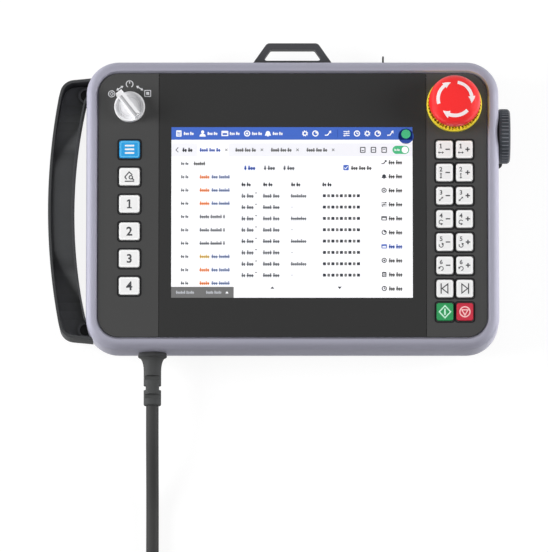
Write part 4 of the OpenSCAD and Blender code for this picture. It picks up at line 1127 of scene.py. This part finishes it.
@dataclass
class Display:
    """The lit picture on the touch glass: a plain menu, list and table in bars."""

    x0: float = -81.6
    x1: float = 80.8
    y0: float = -63.2
    y1: float = 53.0
    bar_h: float = 8.6
    list_w: float = 42.0
    foot_h: float = 7.4
    rows: int = 8

    def words(self, art: Art, x: float, y: float, w: float, h: float, ink: Finish,
              parts: Sequence[float]) -> None:
        """Greeked words in a row, whose widths are the given shares of w: each is a run of
        upright strokes like letters, tall and short in turn, tied by a bar at mid-height."""
        w, h = 1.08 * w, 1.18 * h
        gap = h * 0.3
        at = x
        for share in parts:
            width = share * w
            count = max(1, round(width / (0.5 * h)))
            pitch = width / count
            for k in range(count):
                tall = h * (1.0, 0.72, 0.72, 0.95, 0.72)[k % 5]
                art.rect(at + (k + 0.5) * pitch, y - (h - tall) / 2, 0.62 * pitch, tall,
                         ink, 3)
            art.rect(at + width / 2, y - 0.1 * h, width, 0.3 * h, ink, 3)
            at += width + gap

    def header(self, art: Art) -> None:
        """The blue bar with its icons and the status lamp in a bulge below it."""
        mid = self.y1 - self.bar_h / 2
        cx = (self.x0 + self.x1) / 2
        art.rect(cx, mid, self.x1 - self.x0, self.bar_h, Finish.LCD_BLUE, 1)
        bulb = self.x1 - 4.4
        art.fill(circle(bulb, mid - 1.9, 5.2), Finish.LCD_NAVY, 1)
        art.fill(circle(bulb, mid - 0.4, 3.1), Finish.LCD_GREEN, 3)
        for k, x in enumerate((self.x0 + 5, self.x0 + 21, self.x0 + 36, self.x0 + 51,
                               self.x0 + 65)):
            self.icon(art, k, x, mid, 2.1, Finish.LCD_WHITE)
            self.words(art, x + 3.2, mid, 6.0, 1.8, Finish.LCD_WHITE, (0.55, 0.4))
        for k, x in enumerate((90, 97, 105.5, 118, 125, 132, 139, 147.5)):
            self.icon(art, 5 + k % 5, self.x0 + x, mid, 2.1, Finish.LCD_WHITE)
        art.rect(self.x0 + 112.0, mid, 0.3, 5.4, Finish.LCD_NAVY, 2)

    def icon(self, art: Art, kind: int, x: float, y: float, r: float, ink: Finish) -> None:
        """One generic icon of half-size r: document, person, card, disc, bell, gear,
        pie, arrow, slider or clock."""
        w = r * 0.34
        if kind == 0:
            art.frame(x, y, 1.7 * r, 2 * r, w, ink, 3, 0.3)
            for s in (-0.4, 0.15, 0.7):
                art.rect(x, y + s * r * 0.8, r * 0.9, w * 0.7, ink, 3)
        elif kind == 1:
            art.fill(circle(x, y + 0.5 * r, 0.5 * r, 24), ink, 3)
            art.fill(np.concatenate([arc(x, y - r, r, 0, 180, 20)]), ink, 3)
        elif kind == 2:
            art.frame(x, y, 2.2 * r, 1.7 * r, w, ink, 3, 0.4)
            art.rect(x, y + 0.3 * r, 2.0 * r, w, ink, 3)
        elif kind == 3:
            art.ring(x, y, r, w, ink, 3)
            art.fill(circle(x, y, 0.35 * r, 20), ink, 3)
        elif kind == 4:
            art.fill(np.concatenate([arc(x, y + 0.1 * r, 0.7 * r, 0, 180, 16),
                                     [[x - r, y - 0.7 * r], [x + r, y - 0.7 * r]]]), ink, 3)
            art.fill(circle(x, y - 0.8 * r, 0.25 * r, 16), ink, 3)
        elif kind == 5:
            a = np.arange(64) * TURN / 64
            rad = r * (0.86 + 0.14 * np.sign(np.sin(8 * a)))
            art.band(np.stack([x + rad * np.cos(a), y + rad * np.sin(a)], 1),
                     circle(x, y, 0.4 * r, 64), ink, 3)
        elif kind == 6:
            art.ring(x, y, r, w, ink, 3)
            art.fill(np.concatenate([[[x, y]], arc(x, y, r * 0.8, 0, 90, 12)]), ink, 3)
        elif kind == 7:
            art.stroke([[x - r, y - 0.6 * r], [x - 0.1 * r, y - 0.5 * r],
                        [x + 0.7 * r, y + 0.6 * r]], w, ink, 3)
            art.fill([[x + r, y + r], [x + 0.2 * r, y + 0.7 * r], [x + r, y]], ink, 3)
        elif kind == 8:
            for s in (-0.65, 0.0, 0.65):
                art.rect(x, y + s * r, 2 * r, w * 0.7, ink, 3)
                art.fill(circle(x + s * r, y + s * r, 0.3 * r, 16), ink, 3)
        else:
            art.ring(x, y, r, w, ink, 3)
            art.stroke([[x, y + 0.6 * r], [x, y], [x + 0.5 * r, y - 0.2 * r]], w * 0.8, ink, 3)

    def tabs(self, art: Art) -> None:
        """The row of tabs under the bar, and the green switch at its right end."""
        y = self.y1 - self.bar_h - 6.9
        cx = (self.x0 + self.x1) / 2
        art.rect(cx, y, self.x1 - self.x0, 9.2, Finish.LCD_PALE, 1)
        art.stroke([[self.x0 + 4.6, y + 1.6], [self.x0 + 3.0, y], [self.x0 + 4.6, y - 1.6]],
                   0.5, Finish.LCD_DARK, 3)
        self.words(art, self.x0 + 7.4, y, 6.4, 2.4, Finish.LCD_DARK, (0.42, 0.42))
        art.rect(self.x0 + 28, y, 21, 9.2, Finish.LCD_WHITE, 2)
        for k, ink in enumerate((Finish.LCD_BLUE, Finish.LCD_GREY, Finish.LCD_GREY,
                                 Finish.LCD_GREY)):
            x = self.x0 + 19 + 24 * k
            self.words(art, x, y, 13.0, 2.2, ink, (0.4, 0.28, 0.2))
            for s in (-1, 1):
                art.stroke([[x + 17.1, y - 0.85 * s], [x + 18.8, y + 0.85 * s]], 0.4,
                           Finish.LCD_GREY, 3)
        for k in range(3):
            x = self.x1 - 33.5 + 7.2 * k
            art.frame(x, y, 3.6, 4.0, 0.6, Finish.LCD_DARK, 3, 0.5)
            art.rect(x, y + (k - 1) * 0.5, 1.6, 0.5, Finish.LCD_DARK, 3)
        art.rect(self.x1 - 7.9, y, 11.2, 5.6, Finish.LCD_GREEN, 2, 2.79)
        art.fill(circle(self.x1 - 5.1, y, 2.2), Finish.LCD_WHITE, 3)
        self.words(art, self.x1 - 12.2, y, 3.4, 1.3, Finish.LCD_WHITE, (0.4, 0.45))

    def listing(self, art: Art) -> None:
        """The numbered list at the left and the dark foot under it."""
        top = self.y1 - self.bar_h - 16.2
        low = self.y0 + self.foot_h
        step = (top - low - 2.6) / 9
        inks = {1: Finish.LCD_ORANGE, 2: Finish.LCD_ORANGE, 3: Finish.LCD_ORANGE,
                7: Finish.LCD_YELLOW, 8: Finish.LCD_ORANGE, 9: Finish.LCD_ORANGE}
        for k in range(10):
            y = top - step * k
            self.words(art, self.x0 + 6.4, y, 4.8, 1.9, Finish.LCD_NUM, (0.45, 0.4))
            x = self.x0 + (15 if k == 0 else 19)
            if k in inks:
                self.words(art, x, y, 7.2, 2.3, inks[k], (0.85,))
                self.words(art, x + 8.0, y, 13.0, 2.2, Finish.LCD_STEEL, (0.3, 0.52))
            elif k == 0:
                self.words(art, x, y, 8.0, 2.2, Finish.LCD_GREY, (0.9,))
            else:
                self.words(art, x, y, 20.0, 2.2, Finish.LCD_NUM, (0.3, 0.36, 0.06))
        art.rect(self.x0 + self.list_w / 2, self.y0 + self.foot_h / 2, self.list_w,
                 self.foot_h, Finish.LCD_GREY, 2)
        self.words(art, self.x0 + 3.2, self.y0 + self.foot_h / 2, 14.0, 1.7,
                   Finish.LCD_SOFT, (0.42, 0.34))
        self.words(art, self.x0 + 23.4, self.y0 + self.foot_h / 2, 11.0, 1.7,
                   Finish.LCD_SOFT, (0.42, 0.4))
        art.fill([[self.x0 + 36.4, self.y0 + 2.9], [self.x0 + 38.6, self.y0 + 2.9],
                  [self.x0 + 37.5, self.y0 + 4.4]], Finish.LCD_WHITE, 3)

    def table(self, art: Art) -> None:
        """The table in the middle: a heading row, rows of bars and two arrows below."""
        y = self.y1 - self.bar_h - 19.2
        for x, ink in ((49.0, Finish.LCD_BLUE), (62.3, Finish.LCD_NUM), (75.4, Finish.LCD_NUM)):
            self.words(art, self.x0 + x, y, 7.4, 2.6, ink, (0.2, 0.62))
        art.rect(self.x0 + 117.6, y + 0.2, 3.6, 3.6, Finish.LCD_BLUE, 2, 0.5)
        art.stroke([[self.x0 + 116.5, y + 0.2], [self.x0 + 117.3, y - 0.6],
                    [self.x0 + 118.8, y + 1.1]], 0.45, Finish.LCD_WHITE, 3)
        self.words(art, self.x0 + 121, y, 13.6, 2.4, Finish.LCD_GREY, (0.3, 0.3, 0.22))
        y = self.y1 - self.bar_h - 30.5
        for x in (47.2, 61.8, 80.6, 101.6):
            self.words(art, self.x0 + x, y, 7.4, 2.2, Finish.LCD_DARK, (0.34, 0.34))
        for k in range(self.rows):
            y -= 7.72
            self.words(art, self.x0 + 47.2, y, 8.6, 2.5, Finish.LCD_NUM, (0.28, 0.5))
            art.rect(self.x0 + 57.0, y + 1.9, 1.1, 0.6, Finish.LCD_DARK, 3)
            self.words(art, self.x0 + 61.6, y, 11.4, 2.4, Finish.LCD_NUM, (0.48, 0.36))
            if k % 2 == 0:
                self.words(art, self.x0 + 80.4, y, 11.0, 2.2, Finish.LCD_NUM, (0.88,))
            else:
                art.rect(self.x0 + 81.2, y, 1.2, 0.5, Finish.LCD_MID, 3)
            for j in range(9):
                art.rect(self.x0 + 103.0 + j * 2.86, y, 1.7 if j % 2 else 2.0, 2.0,
                         Finish.LCD_GREY if j % 2 else Finish.LCD_DARK, 3, 0.3)
        for x, s in ((68.0, 1), (113.2, -1)):
            art.fill([[self.x0 + x - 1.4, self.y0 + 6.8 - 0.7 * s],
                      [self.x0 + x + 1.4, self.y0 + 6.8 - 0.7 * s],
                      [self.x0 + x, self.y0 + 6.8 + 0.8 * s]], Finish.LCD_DARK, 3)

    def menu(self, art: Art) -> None:
        """The menu column at the right: ten icons with a word each, one of them blue."""
        x = self.x1 - 19.2
        top = self.y1 - self.bar_h - 15.4
        for k in range(10):
            y = top - k * 9.55
            ink = Finish.LCD_BLUE if k == 6 else Finish.LCD_DARK
            self.icon(art, (7, 4, 3, 8, 2, 6, 2, 3, 0, 9)[k], x, y, 1.7, ink)
            self.words(art, x + 3.1, y, 9.2, 2.5,
                       Finish.LCD_BLUE if k == 6 else Finish.LCD_GREY, (0.4, 0.42))

    def build(self) -> None:
        """Draw the whole picture as one piece on the glass."""
        art = Art()
        cx, cy = (self.x0 + self.x1) / 2, (self.y0 + self.y1) / 2
        art.rect(cx, cy, self.x1 - self.x0, self.y1 - self.y0, Finish.LCD_WHITE, 0)
        self.header(art)
        self.tabs(art)
        self.listing(art)
        self.table(art)
        self.menu(art)
        art.piece("display_picture", ROOT, "panel_glass")


@dataclass
class KeyPad:
    """Legends of the left and right keys, each on its own key."""

    left_x: float = -109.8
    right_x: float = 109.0
    pair: float = 13.4
    first_y: float = 37.7
    left_pitch: float = 18.6
    right_pitch: float = 15.8
    top: float = 45.1

    def left(self) -> None:
        """Menu, home and the numerals 1 to 4 down the left column."""
        for i in range(6):
            x, y = self.left_x, self.first_y - i * self.left_pitch
            art = Art(self.top, 0.02)
            self.lip(art, x, y, 14.0, 12.2, Finish.LIP_BLUE if i == 0 else Finish.LIP_WHITE)
            if i == 0:
                for s in (-2.5, 0.0, 2.5):
                    art.rect(x, y + s, 6.4, 1.15, Finish.INK_WHITE, 1, 0.4)
            elif i == 1:
                self.home(art, x, y)
            elif i == 2:
                self.one(art, x, y, 6.1, 1.1)
            else:
                art.text(str(i - 1), x, y, 6.1, Finish.INK_DARK, 1, 0.022)
            art.piece(f"left_legend_{i + 1}", f"left_key_{i + 1}", "key_white")

    def home(self, art: Art, x: float, y: float) -> None:
        """A roof over a round arm joint, on a base line: the home position."""
        ink = Finish.INK_DARK
        art.stroke([[x - 3.2, y - 0.3], [x - 0.2, y + 3.1], [x + 1.8, y + 1.2]], 0.75, ink, 1)
        art.stroke([[x - 3.2, y - 0.3], [x - 1.9, y - 1.9]], 0.75, ink, 1)
        art.ring(x + 0.9, y - 0.5, 1.5, 0.7, ink, 1)
        art.stroke([[x + 2.0, y - 1.4], [x + 3.1, y - 2.5]], 0.8, ink, 1)
        art.rect(x, y - 3.2, 6.4, 0.75, ink, 1)

    def one(self, art: Art, x: float, y: float, size: float, stem: float) -> None:
        """A numeral 1 with a flag and a foot.

        Args:
            art: the art that it is drawn in.
            x: its centre.
            y: its centre.
            size: its height.
            stem: the width of its stem.
        """
        ink, top = Finish.INK_DARK, y + size / 2
        art.rect(x, y, stem, size, ink, 1)
        art.rect(x, y - size / 2 + stem * 0.35, size * 0.52, stem * 0.7, ink, 2)
        art.fill([[x - stem / 2, top], [x - size * 0.27, top - size * 0.13],
                  [x - size * 0.27, top - size * 0.29], [x - stem / 2, top - size * 0.19]], ink, 2)

    def lip(self, art: Art, x: float, y: float, w: float, h: float, ink: Finish) -> None:
        """The pale lip round a key's shallow dish, a painted highlight where its rim catches the
        light.
        """
        art.frame(x, y, w - 1.5, h - 1.5, 0.7, ink, 0, 1.2)

    def axis(self, art: Art, row: int, x: float, y: float) -> None:
        """A number over a sign for its motion: a straight slide for 1 to 3, a turn above.

        Args:
            art: the art that it is drawn in.
            row: the key's row, from 0.
            x: the middle of the pair.
            y: the key's centre.
        """
        ink = Finish.INK_DARK
        if row:
            art.text(str(row + 1), x, y + 2.2, 3.1, ink, 1, 0.02)
        else:
            self.one(art, x, y + 2.2, 3.1, 0.65)
        if row < 3:
            a = math.radians((0.0, 90.0, 45.0)[row])
            d = np.array([math.cos(a), math.sin(a)])
            side = np.array([-d[1], d[0]])
            mid = np.array([x, y - 2.2])
            art.stroke([mid - 1.2 * d, mid + 1.2 * d], 0.5, ink, 1)
            for e in (-1.0, 1.0):
                art.fill([mid + 2.0 * e * d, mid + e * d + 0.85 * side, mid + e * d - 0.85 * side],
                         ink, 2)
        else:
            a = (30.0, 150.0, 270.0)[row - 3]
            art.stroke(arc(x, y - 2.2, 1.35, a, a + 250.0, 24), 0.5, ink, 1)
            end = math.radians(a + 250.0)
            tip = np.array([x + 1.35 * math.cos(end), y - 2.2 + 1.35 * math.sin(end)])
            on = np.array([-math.sin(end), math.cos(end)])
            out = np.array([math.cos(end), math.sin(end)])
            art.fill([tip + 1.1 * on, tip - 0.4 * on + 0.9 * out, tip - 0.4 * on - 0.9 * out],
                     ink, 2)

    def right(self) -> None:
        """Axis numbers with minus and plus, step marks, and the start and stop signs."""
        for r in range(8):
            for c in range(2):
                x = self.right_x + (c - 0.5) * self.pair
                y = self.first_y - r * self.right_pitch
                art = Art(self.top, 0.02)
                sign = -1 if c == 0 else 1
                if r < 7:
                    self.lip(art, x, y, 11.6, 12.2, Finish.LIP_WHITE)
                if r < 6:
                    self.axis(art, r, x - 2.4, y)
                    art.rect(x + 2.2, y, 3.0, 0.85, Finish.INK_DARK, 1)
                    if c == 1:
                        art.rect(x + 2.2, y, 0.85, 3.0, Finish.INK_DARK, 2)
                elif r == 6:
                    art.stroke([[x - 2.0 * sign, y + 3.1], [x + 1.9 * sign, y],
                                [x - 2.0 * sign, y - 3.1]], 0.7, Finish.INK_DARK, 1, closed=True)
                    art.rect(x + 2.5 * sign, y, 0.75, 7.0, Finish.INK_DARK, 2)
                elif c == 0:
                    art.stroke([[x - 3.8, y], [x, y + 4.1], [x + 3.8, y], [x, y - 4.1]], 0.85,
                               Finish.INK_MINT, closed=True)
                    art.rect(x, y, 1.1, 4.4, Finish.INK_MINT, 1, 0.3)
                else:
                    art.ring(x, y, 3.8, 0.85, Finish.INK_ROSE)
                    art.stroke([[x - 2.1, y + 1.3], [x + 2.1, y + 1.3], [x, y - 2.3]], 0.8,
                               Finish.INK_ROSE, 1, closed=True)
                name = f"right_key_{r + 1}{'ab'[c]}"
                art.piece(f"right_legend_{r + 1}{'ab'[c]}", name, "key_white")

    def gap_shadows(self, frame: dict[str, Any]) -> None:
        """Painted shadow round each key: a dark soft frame on the film at its edge, where the
        gap's shade falls.
        """
        art = Art()
        for node in frame["nodes"]:
            if "_key_" in node and "plate" not in node and "boards" not in node:
                low, high = (np.array(v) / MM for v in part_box(node))
                mid, size = (low + high) / 2, high - low
                art.frame(mid[0], mid[1], size[0] + 1.0, size[1] + 1.0, 0.8,
                          Finish.INK_GAP, 0, 2.1)
        art.piece("key_gap_shadows", ROOT, "panel_film")

    def build(self, frame: dict[str, Any]) -> None:
        """Dress the keys and print their legends."""
        odd = {"left_key_1": Finish.KEY_BLUE, "right_key_8a": Finish.KEY_GREEN,
               "right_key_8b": Finish.KEY_RED}
        for node in frame["nodes"]:
            if "_key_" in node and "plate" not in node and "boards" not in node:
                dress(node, odd.get(node, Finish.KEY_WHITE).get(), frame)
        self.left()
        self.right()
        self.gap_shadows(frame)


@dataclass
class EmergencyStop:
    """The mushroom cap, turned about its axis, and its printed turning arrows."""

    x: float = 109.0
    y: float = 68.1
    foot_z: float = 54.3
    cap_r: float = 17.4
    cap_h: float = 16.0
    belly: float = 4.6
    foot_in: float = 3.4
    squareness: float = 2.8
    r: float = 11.35
    width: float = 2.3
    head: float = 4.9
    arrows: tuple[tuple[float, float], ...] = ((197.5, 104.0), (81.0, -15.5),
                                               (-43.0, -135.0))
    ribs: int = 48
    hollow_w: float = 0.9
    hollow_r: tuple[float, float, float] = (13.9, 16.6, 17.9)
    hollow_rise: tuple[float, float, float] = (0.04, -1.15, -0.5)

    def crown(self, rad: Array) -> Array:
        """Return the crown's height over its foot at a radius: the belly's height plus
        the rest times (1 - (r / R)^n)^(1/n), with n the squareness."""
        n = self.squareness
        dome = (1.0 - np.clip(rad / self.cap_r, 0.0, 1.0) ** n) ** (1.0 / n)
        return self.belly + (self.cap_h - self.belly) * dome

    def cap(self) -> None:
        """Turn the cap: the crown from its pole to its widest ring, then a quarter of an
        ellipse in to the foot, then the flat underside, each ring of 96 points."""
        a = np.linspace(0.0, math.pi / 2, 22)[1:]
        rim = self.cap_r * np.sin(a)
        under = np.linspace(0.0, math.pi / 2, 9)[1:]
        rad = np.concatenate([rim, self.cap_r - self.foot_in * (1.0 - np.cos(under))])
        z = np.concatenate([self.crown(rim), self.belly * (1.0 - np.sin(under))])
        turn = np.linspace(0.0, 2.0 * math.pi, 96, endpoint=False)
        rings = np.stack([self.x + rad[:, None] * np.cos(turn),
                          self.y + rad[:, None] * np.sin(turn),
                          self.foot_z + z[:, None] + 0.0 * turn], 2).reshape(-1, 3)
        poles = np.array([[self.x, self.y, self.foot_z + self.cap_h],
                          [self.x, self.y, self.foot_z]])
        i, j = np.meshgrid(np.arange(len(rad) - 1), np.arange(96), indexing="ij")
        here, after = (i * 96 + j).ravel(), (i * 96 + (j + 1) % 96).ravel()
        faces = np.stack([here, here + 96, after + 96, after], 1).tolist()
        ring, past = np.arange(96), (np.arange(96) + 1) % 96
        last, n = 96 * (len(rad) - 1), len(rings)
        faces += np.stack([ring, past, np.full(96, n)], 1).tolist()
        faces += np.stack([past + last, ring + last, np.full(96, n + 1)], 1).tolist()
        cap = mesh_object("stop_mushroom_cap", np.concatenate([rings, poles]), faces,
                          [Finish.CAP.get()], "stop_cap", smooth=True)
        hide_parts("stop_cap")

    def arrow(self, start: float, end: float) -> tuple[Array, list[list[int]]]:
        """One clockwise arrow on the crown, from angle start to its tip at angle end.

        A band is the grid of angle t and radius r + s * half(t), s from -1 to 1, lying on
        the crown: half is width / 2 along the stem, and falls evenly from head / 2 to
        nothing along the head.

        Args:
            start: the angle of its tail, in degrees.
            end: the angle of its tip, in degrees.

        Returns:
            The points and the faces.
        """
        neck = end + math.degrees(self.head / self.r)
        points, faces, base = [], [], 0
        across = 7
        for t, half in ((np.linspace(start, neck, 30), np.full(30, self.width / 2)),
                        (np.linspace(neck, end, 14), np.linspace(self.head / 2, 0.02, 14))):
            rad = self.r + half[:, None] * np.linspace(-1.0, 1.0, across)
            ang = np.radians(t)[:, None]
            grid = np.stack([self.x + rad * np.cos(ang), self.y + rad * np.sin(ang),
                             self.foot_z + self.crown(rad) + 0.06], 2)
            a = cells(len(t), across, base)
            faces += np.stack([a, a + across, a + across + 1, a + 1], 1).tolist()
            points.append(grid.reshape(-1, 3))
            base += rad.size
        return np.concatenate(points), faces

    def hollow_shade(self) -> None:
        """Painted shade in the hollows between the collar's finger ribs: a dark strip down the
        collar's slope at each, its profile carried round the axis."""
        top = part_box("stop_collar")[1][2] / MM
        rad = np.array(self.hollow_r)
        z = top + np.array(self.hollow_rise)
        turn = 2.0 * math.pi * (np.arange(self.ribs) + 0.5) / self.ribs
        half = self.hollow_w / 2.0 / rad
        side = np.stack([-half, half], 1)
        ang = turn[:, None, None] + side[None]
        grid = np.stack([self.x + rad[None, :, None] * np.cos(ang),
                         self.y + rad[None, :, None] * np.sin(ang),
                         np.broadcast_to(z[None, :, None], ang.shape)], 3).reshape(-1, 3)
        k, i = np.meshgrid(np.arange(self.ribs), np.arange(2), indexing="ij")
        a = (k * 6 + i * 2).ravel()
        mesh_object("stop_collar_hollow_shade", grid, np.stack([a, a + 2, a + 3, a + 1], 1).tolist(),
                    [Finish.INK_HOLLOW.get()], ROOT)

    def build(self) -> None:
        """Turn the cap, print its three arrows and paint shade into the collar's hollows."""
        self.foot_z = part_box("stop_cap")[0][2] / MM
        self.cap()
        points, faces = [], []
        for start, end in self.arrows:
            p, f = self.arrow(start, end)
            base = sum(len(q) for q in points)
            points.append(p)
            faces += [[v + base for v in face] for face in f]
        mesh_object("stop_arrows", np.concatenate(points), faces, [Finish.INK_CAP.get()],
                    "stop_cap")
        self.hollow_shade()


@dataclass
class ModeSelector:
    """Marks round the mode knob, and painted shade for the grooves in its face and on its bar's
    flank.
    """

    x: float = -109.8
    y: float = 66.5
    face_z: float = 47.7
    bar_z: float = 55.3
    bar_turn: float = 128.0
    bar_ends: tuple[float, float] = (8.4, -8.6)
    r: float = 10.3

    def marks(self) -> None:
        """Three mode icons over the knob, with a double-ended arrow between each two."""
        art = Art()
        ink, w = Finish.INK_LIGHT, 0.55
        for k, (dx, dy) in enumerate(((-12.2, 9.3), (-0.1, 16.0), (12.1, 9.6))):
            x, y = self.x + dx, self.y + dy
            if k == 0:
                art.ring(x, y, 2.4, w, ink)
                art.stroke(circle(x, y, 1.2, 4), w * 0.8, ink, closed=True)
            elif k == 1:
                art.stroke(arc(x, y, 2.3, -60, 240, 24), w, ink)
                art.rect(x, y + 1.5, w, 2.4, ink)
            else:
                art.frame(x, y, 4.6, 4.6, w, ink, r=0.5)
                art.rect(x, y, 2.0, 2.0, ink)
        for s in (-1, 1):
            self.two_way(art, (6.7 * s, 13.2), (0.84, -0.54 * s), ink)
        art.piece("mode_marks", ROOT, "panel_film")

    def two_way(self, art: Art, at: tuple[float, float], along: tuple[float, float],
                ink: Finish) -> None:
        """A short line with an arrow head at both ends.

        Args:
            art: the art that it is drawn in.
            at: its middle, from the knob's axis.
            along: the unit vector that it runs along.
            ink: its finish.
        """
        d = np.array(along)
        side = np.array([-d[1], d[0]])
        mid = np.array([self.x, self.y]) + at
        art.stroke([mid - 1.6 * d, mid + 1.6 * d], 0.6, ink)
        for e in (-1, 1):
            tip, foot = mid + 2.9 * e * d, mid + 1.2 * e * d
            art.fill([tip, foot + 1.05 * side, foot - 1.05 * side], ink, 1)

    def grooves(self) -> None:
        """Painted shade of two shallow grooves, drawn as light grey arcs on the flat knob face,
        then the painted shade of the bar's flank and the dark V at its tail.
        """
        art = Art(self.face_z, 0.02)
        # Painted shade: the grooves are drawn as arcs, not cut.
        for a in (128.0, 308.0):
            art.stroke(arc(self.x, self.y, 6.4, a - 50 - 90, a + 50 - 90, 28), 0.45,
                       Finish.INK_LIGHT)
        art.piece("mode_knob_groove_shade", "mode_knob", "knob_plastic")
        self.flank()

    def flank(self) -> None:
        """Painted shade on the pointer's flank: two grey strips down one side of the bar's top,
        and a dark V of painted shade at its tail."""
        turn, (tip, tail) = math.radians(self.bar_turn), self.bar_ends
        along = np.array([math.cos(turn), math.sin(turn)])
        left = np.array([-along[1], along[0]])
        mid = np.array([self.x, self.y])
        art = Art(self.bar_z, 0.02)
        for inner, outer, ink in ((0.0, 1.0, Finish.INK_SHADE), (1.0, 2.0, Finish.INK_SOFT)):
            art.fill([mid + a * along + b * left for a, b in
                      ((tip, inner), (tip, outer), (tail, outer), (tail, inner))], ink)
        for side in (-1.0, 1.0):
            art.stroke([mid - 9.0 * along + 1.5 * side * left, mid - 7.3 * along], 0.5,
                       Finish.INK_SHADE, 1)
        art.piece("mode_knob_flank_shade", "mode_knob", "knob_plastic")

    def build(self) -> None:
        """Draw the marks, and the painted shade of the grooves and the flank."""
        self.marks()
        self.grooves()


def main() -> None:
    """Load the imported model, then build and dress the parts in order."""
    logging.basicConfig(level=logging.WARNING, format="%(message)s")
    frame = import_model()
    studio = Studio()
    studio.camera()
    CableRun().build(frame)
    Housing().build(frame)
    GripLugs().build()
    ThumbWheel().build()
    Display().build()
    KeyPad().build(frame)
    EmergencyStop().build()
    ModeSelector().build()
    studio.build()


if __name__ == "__main__":
    main()
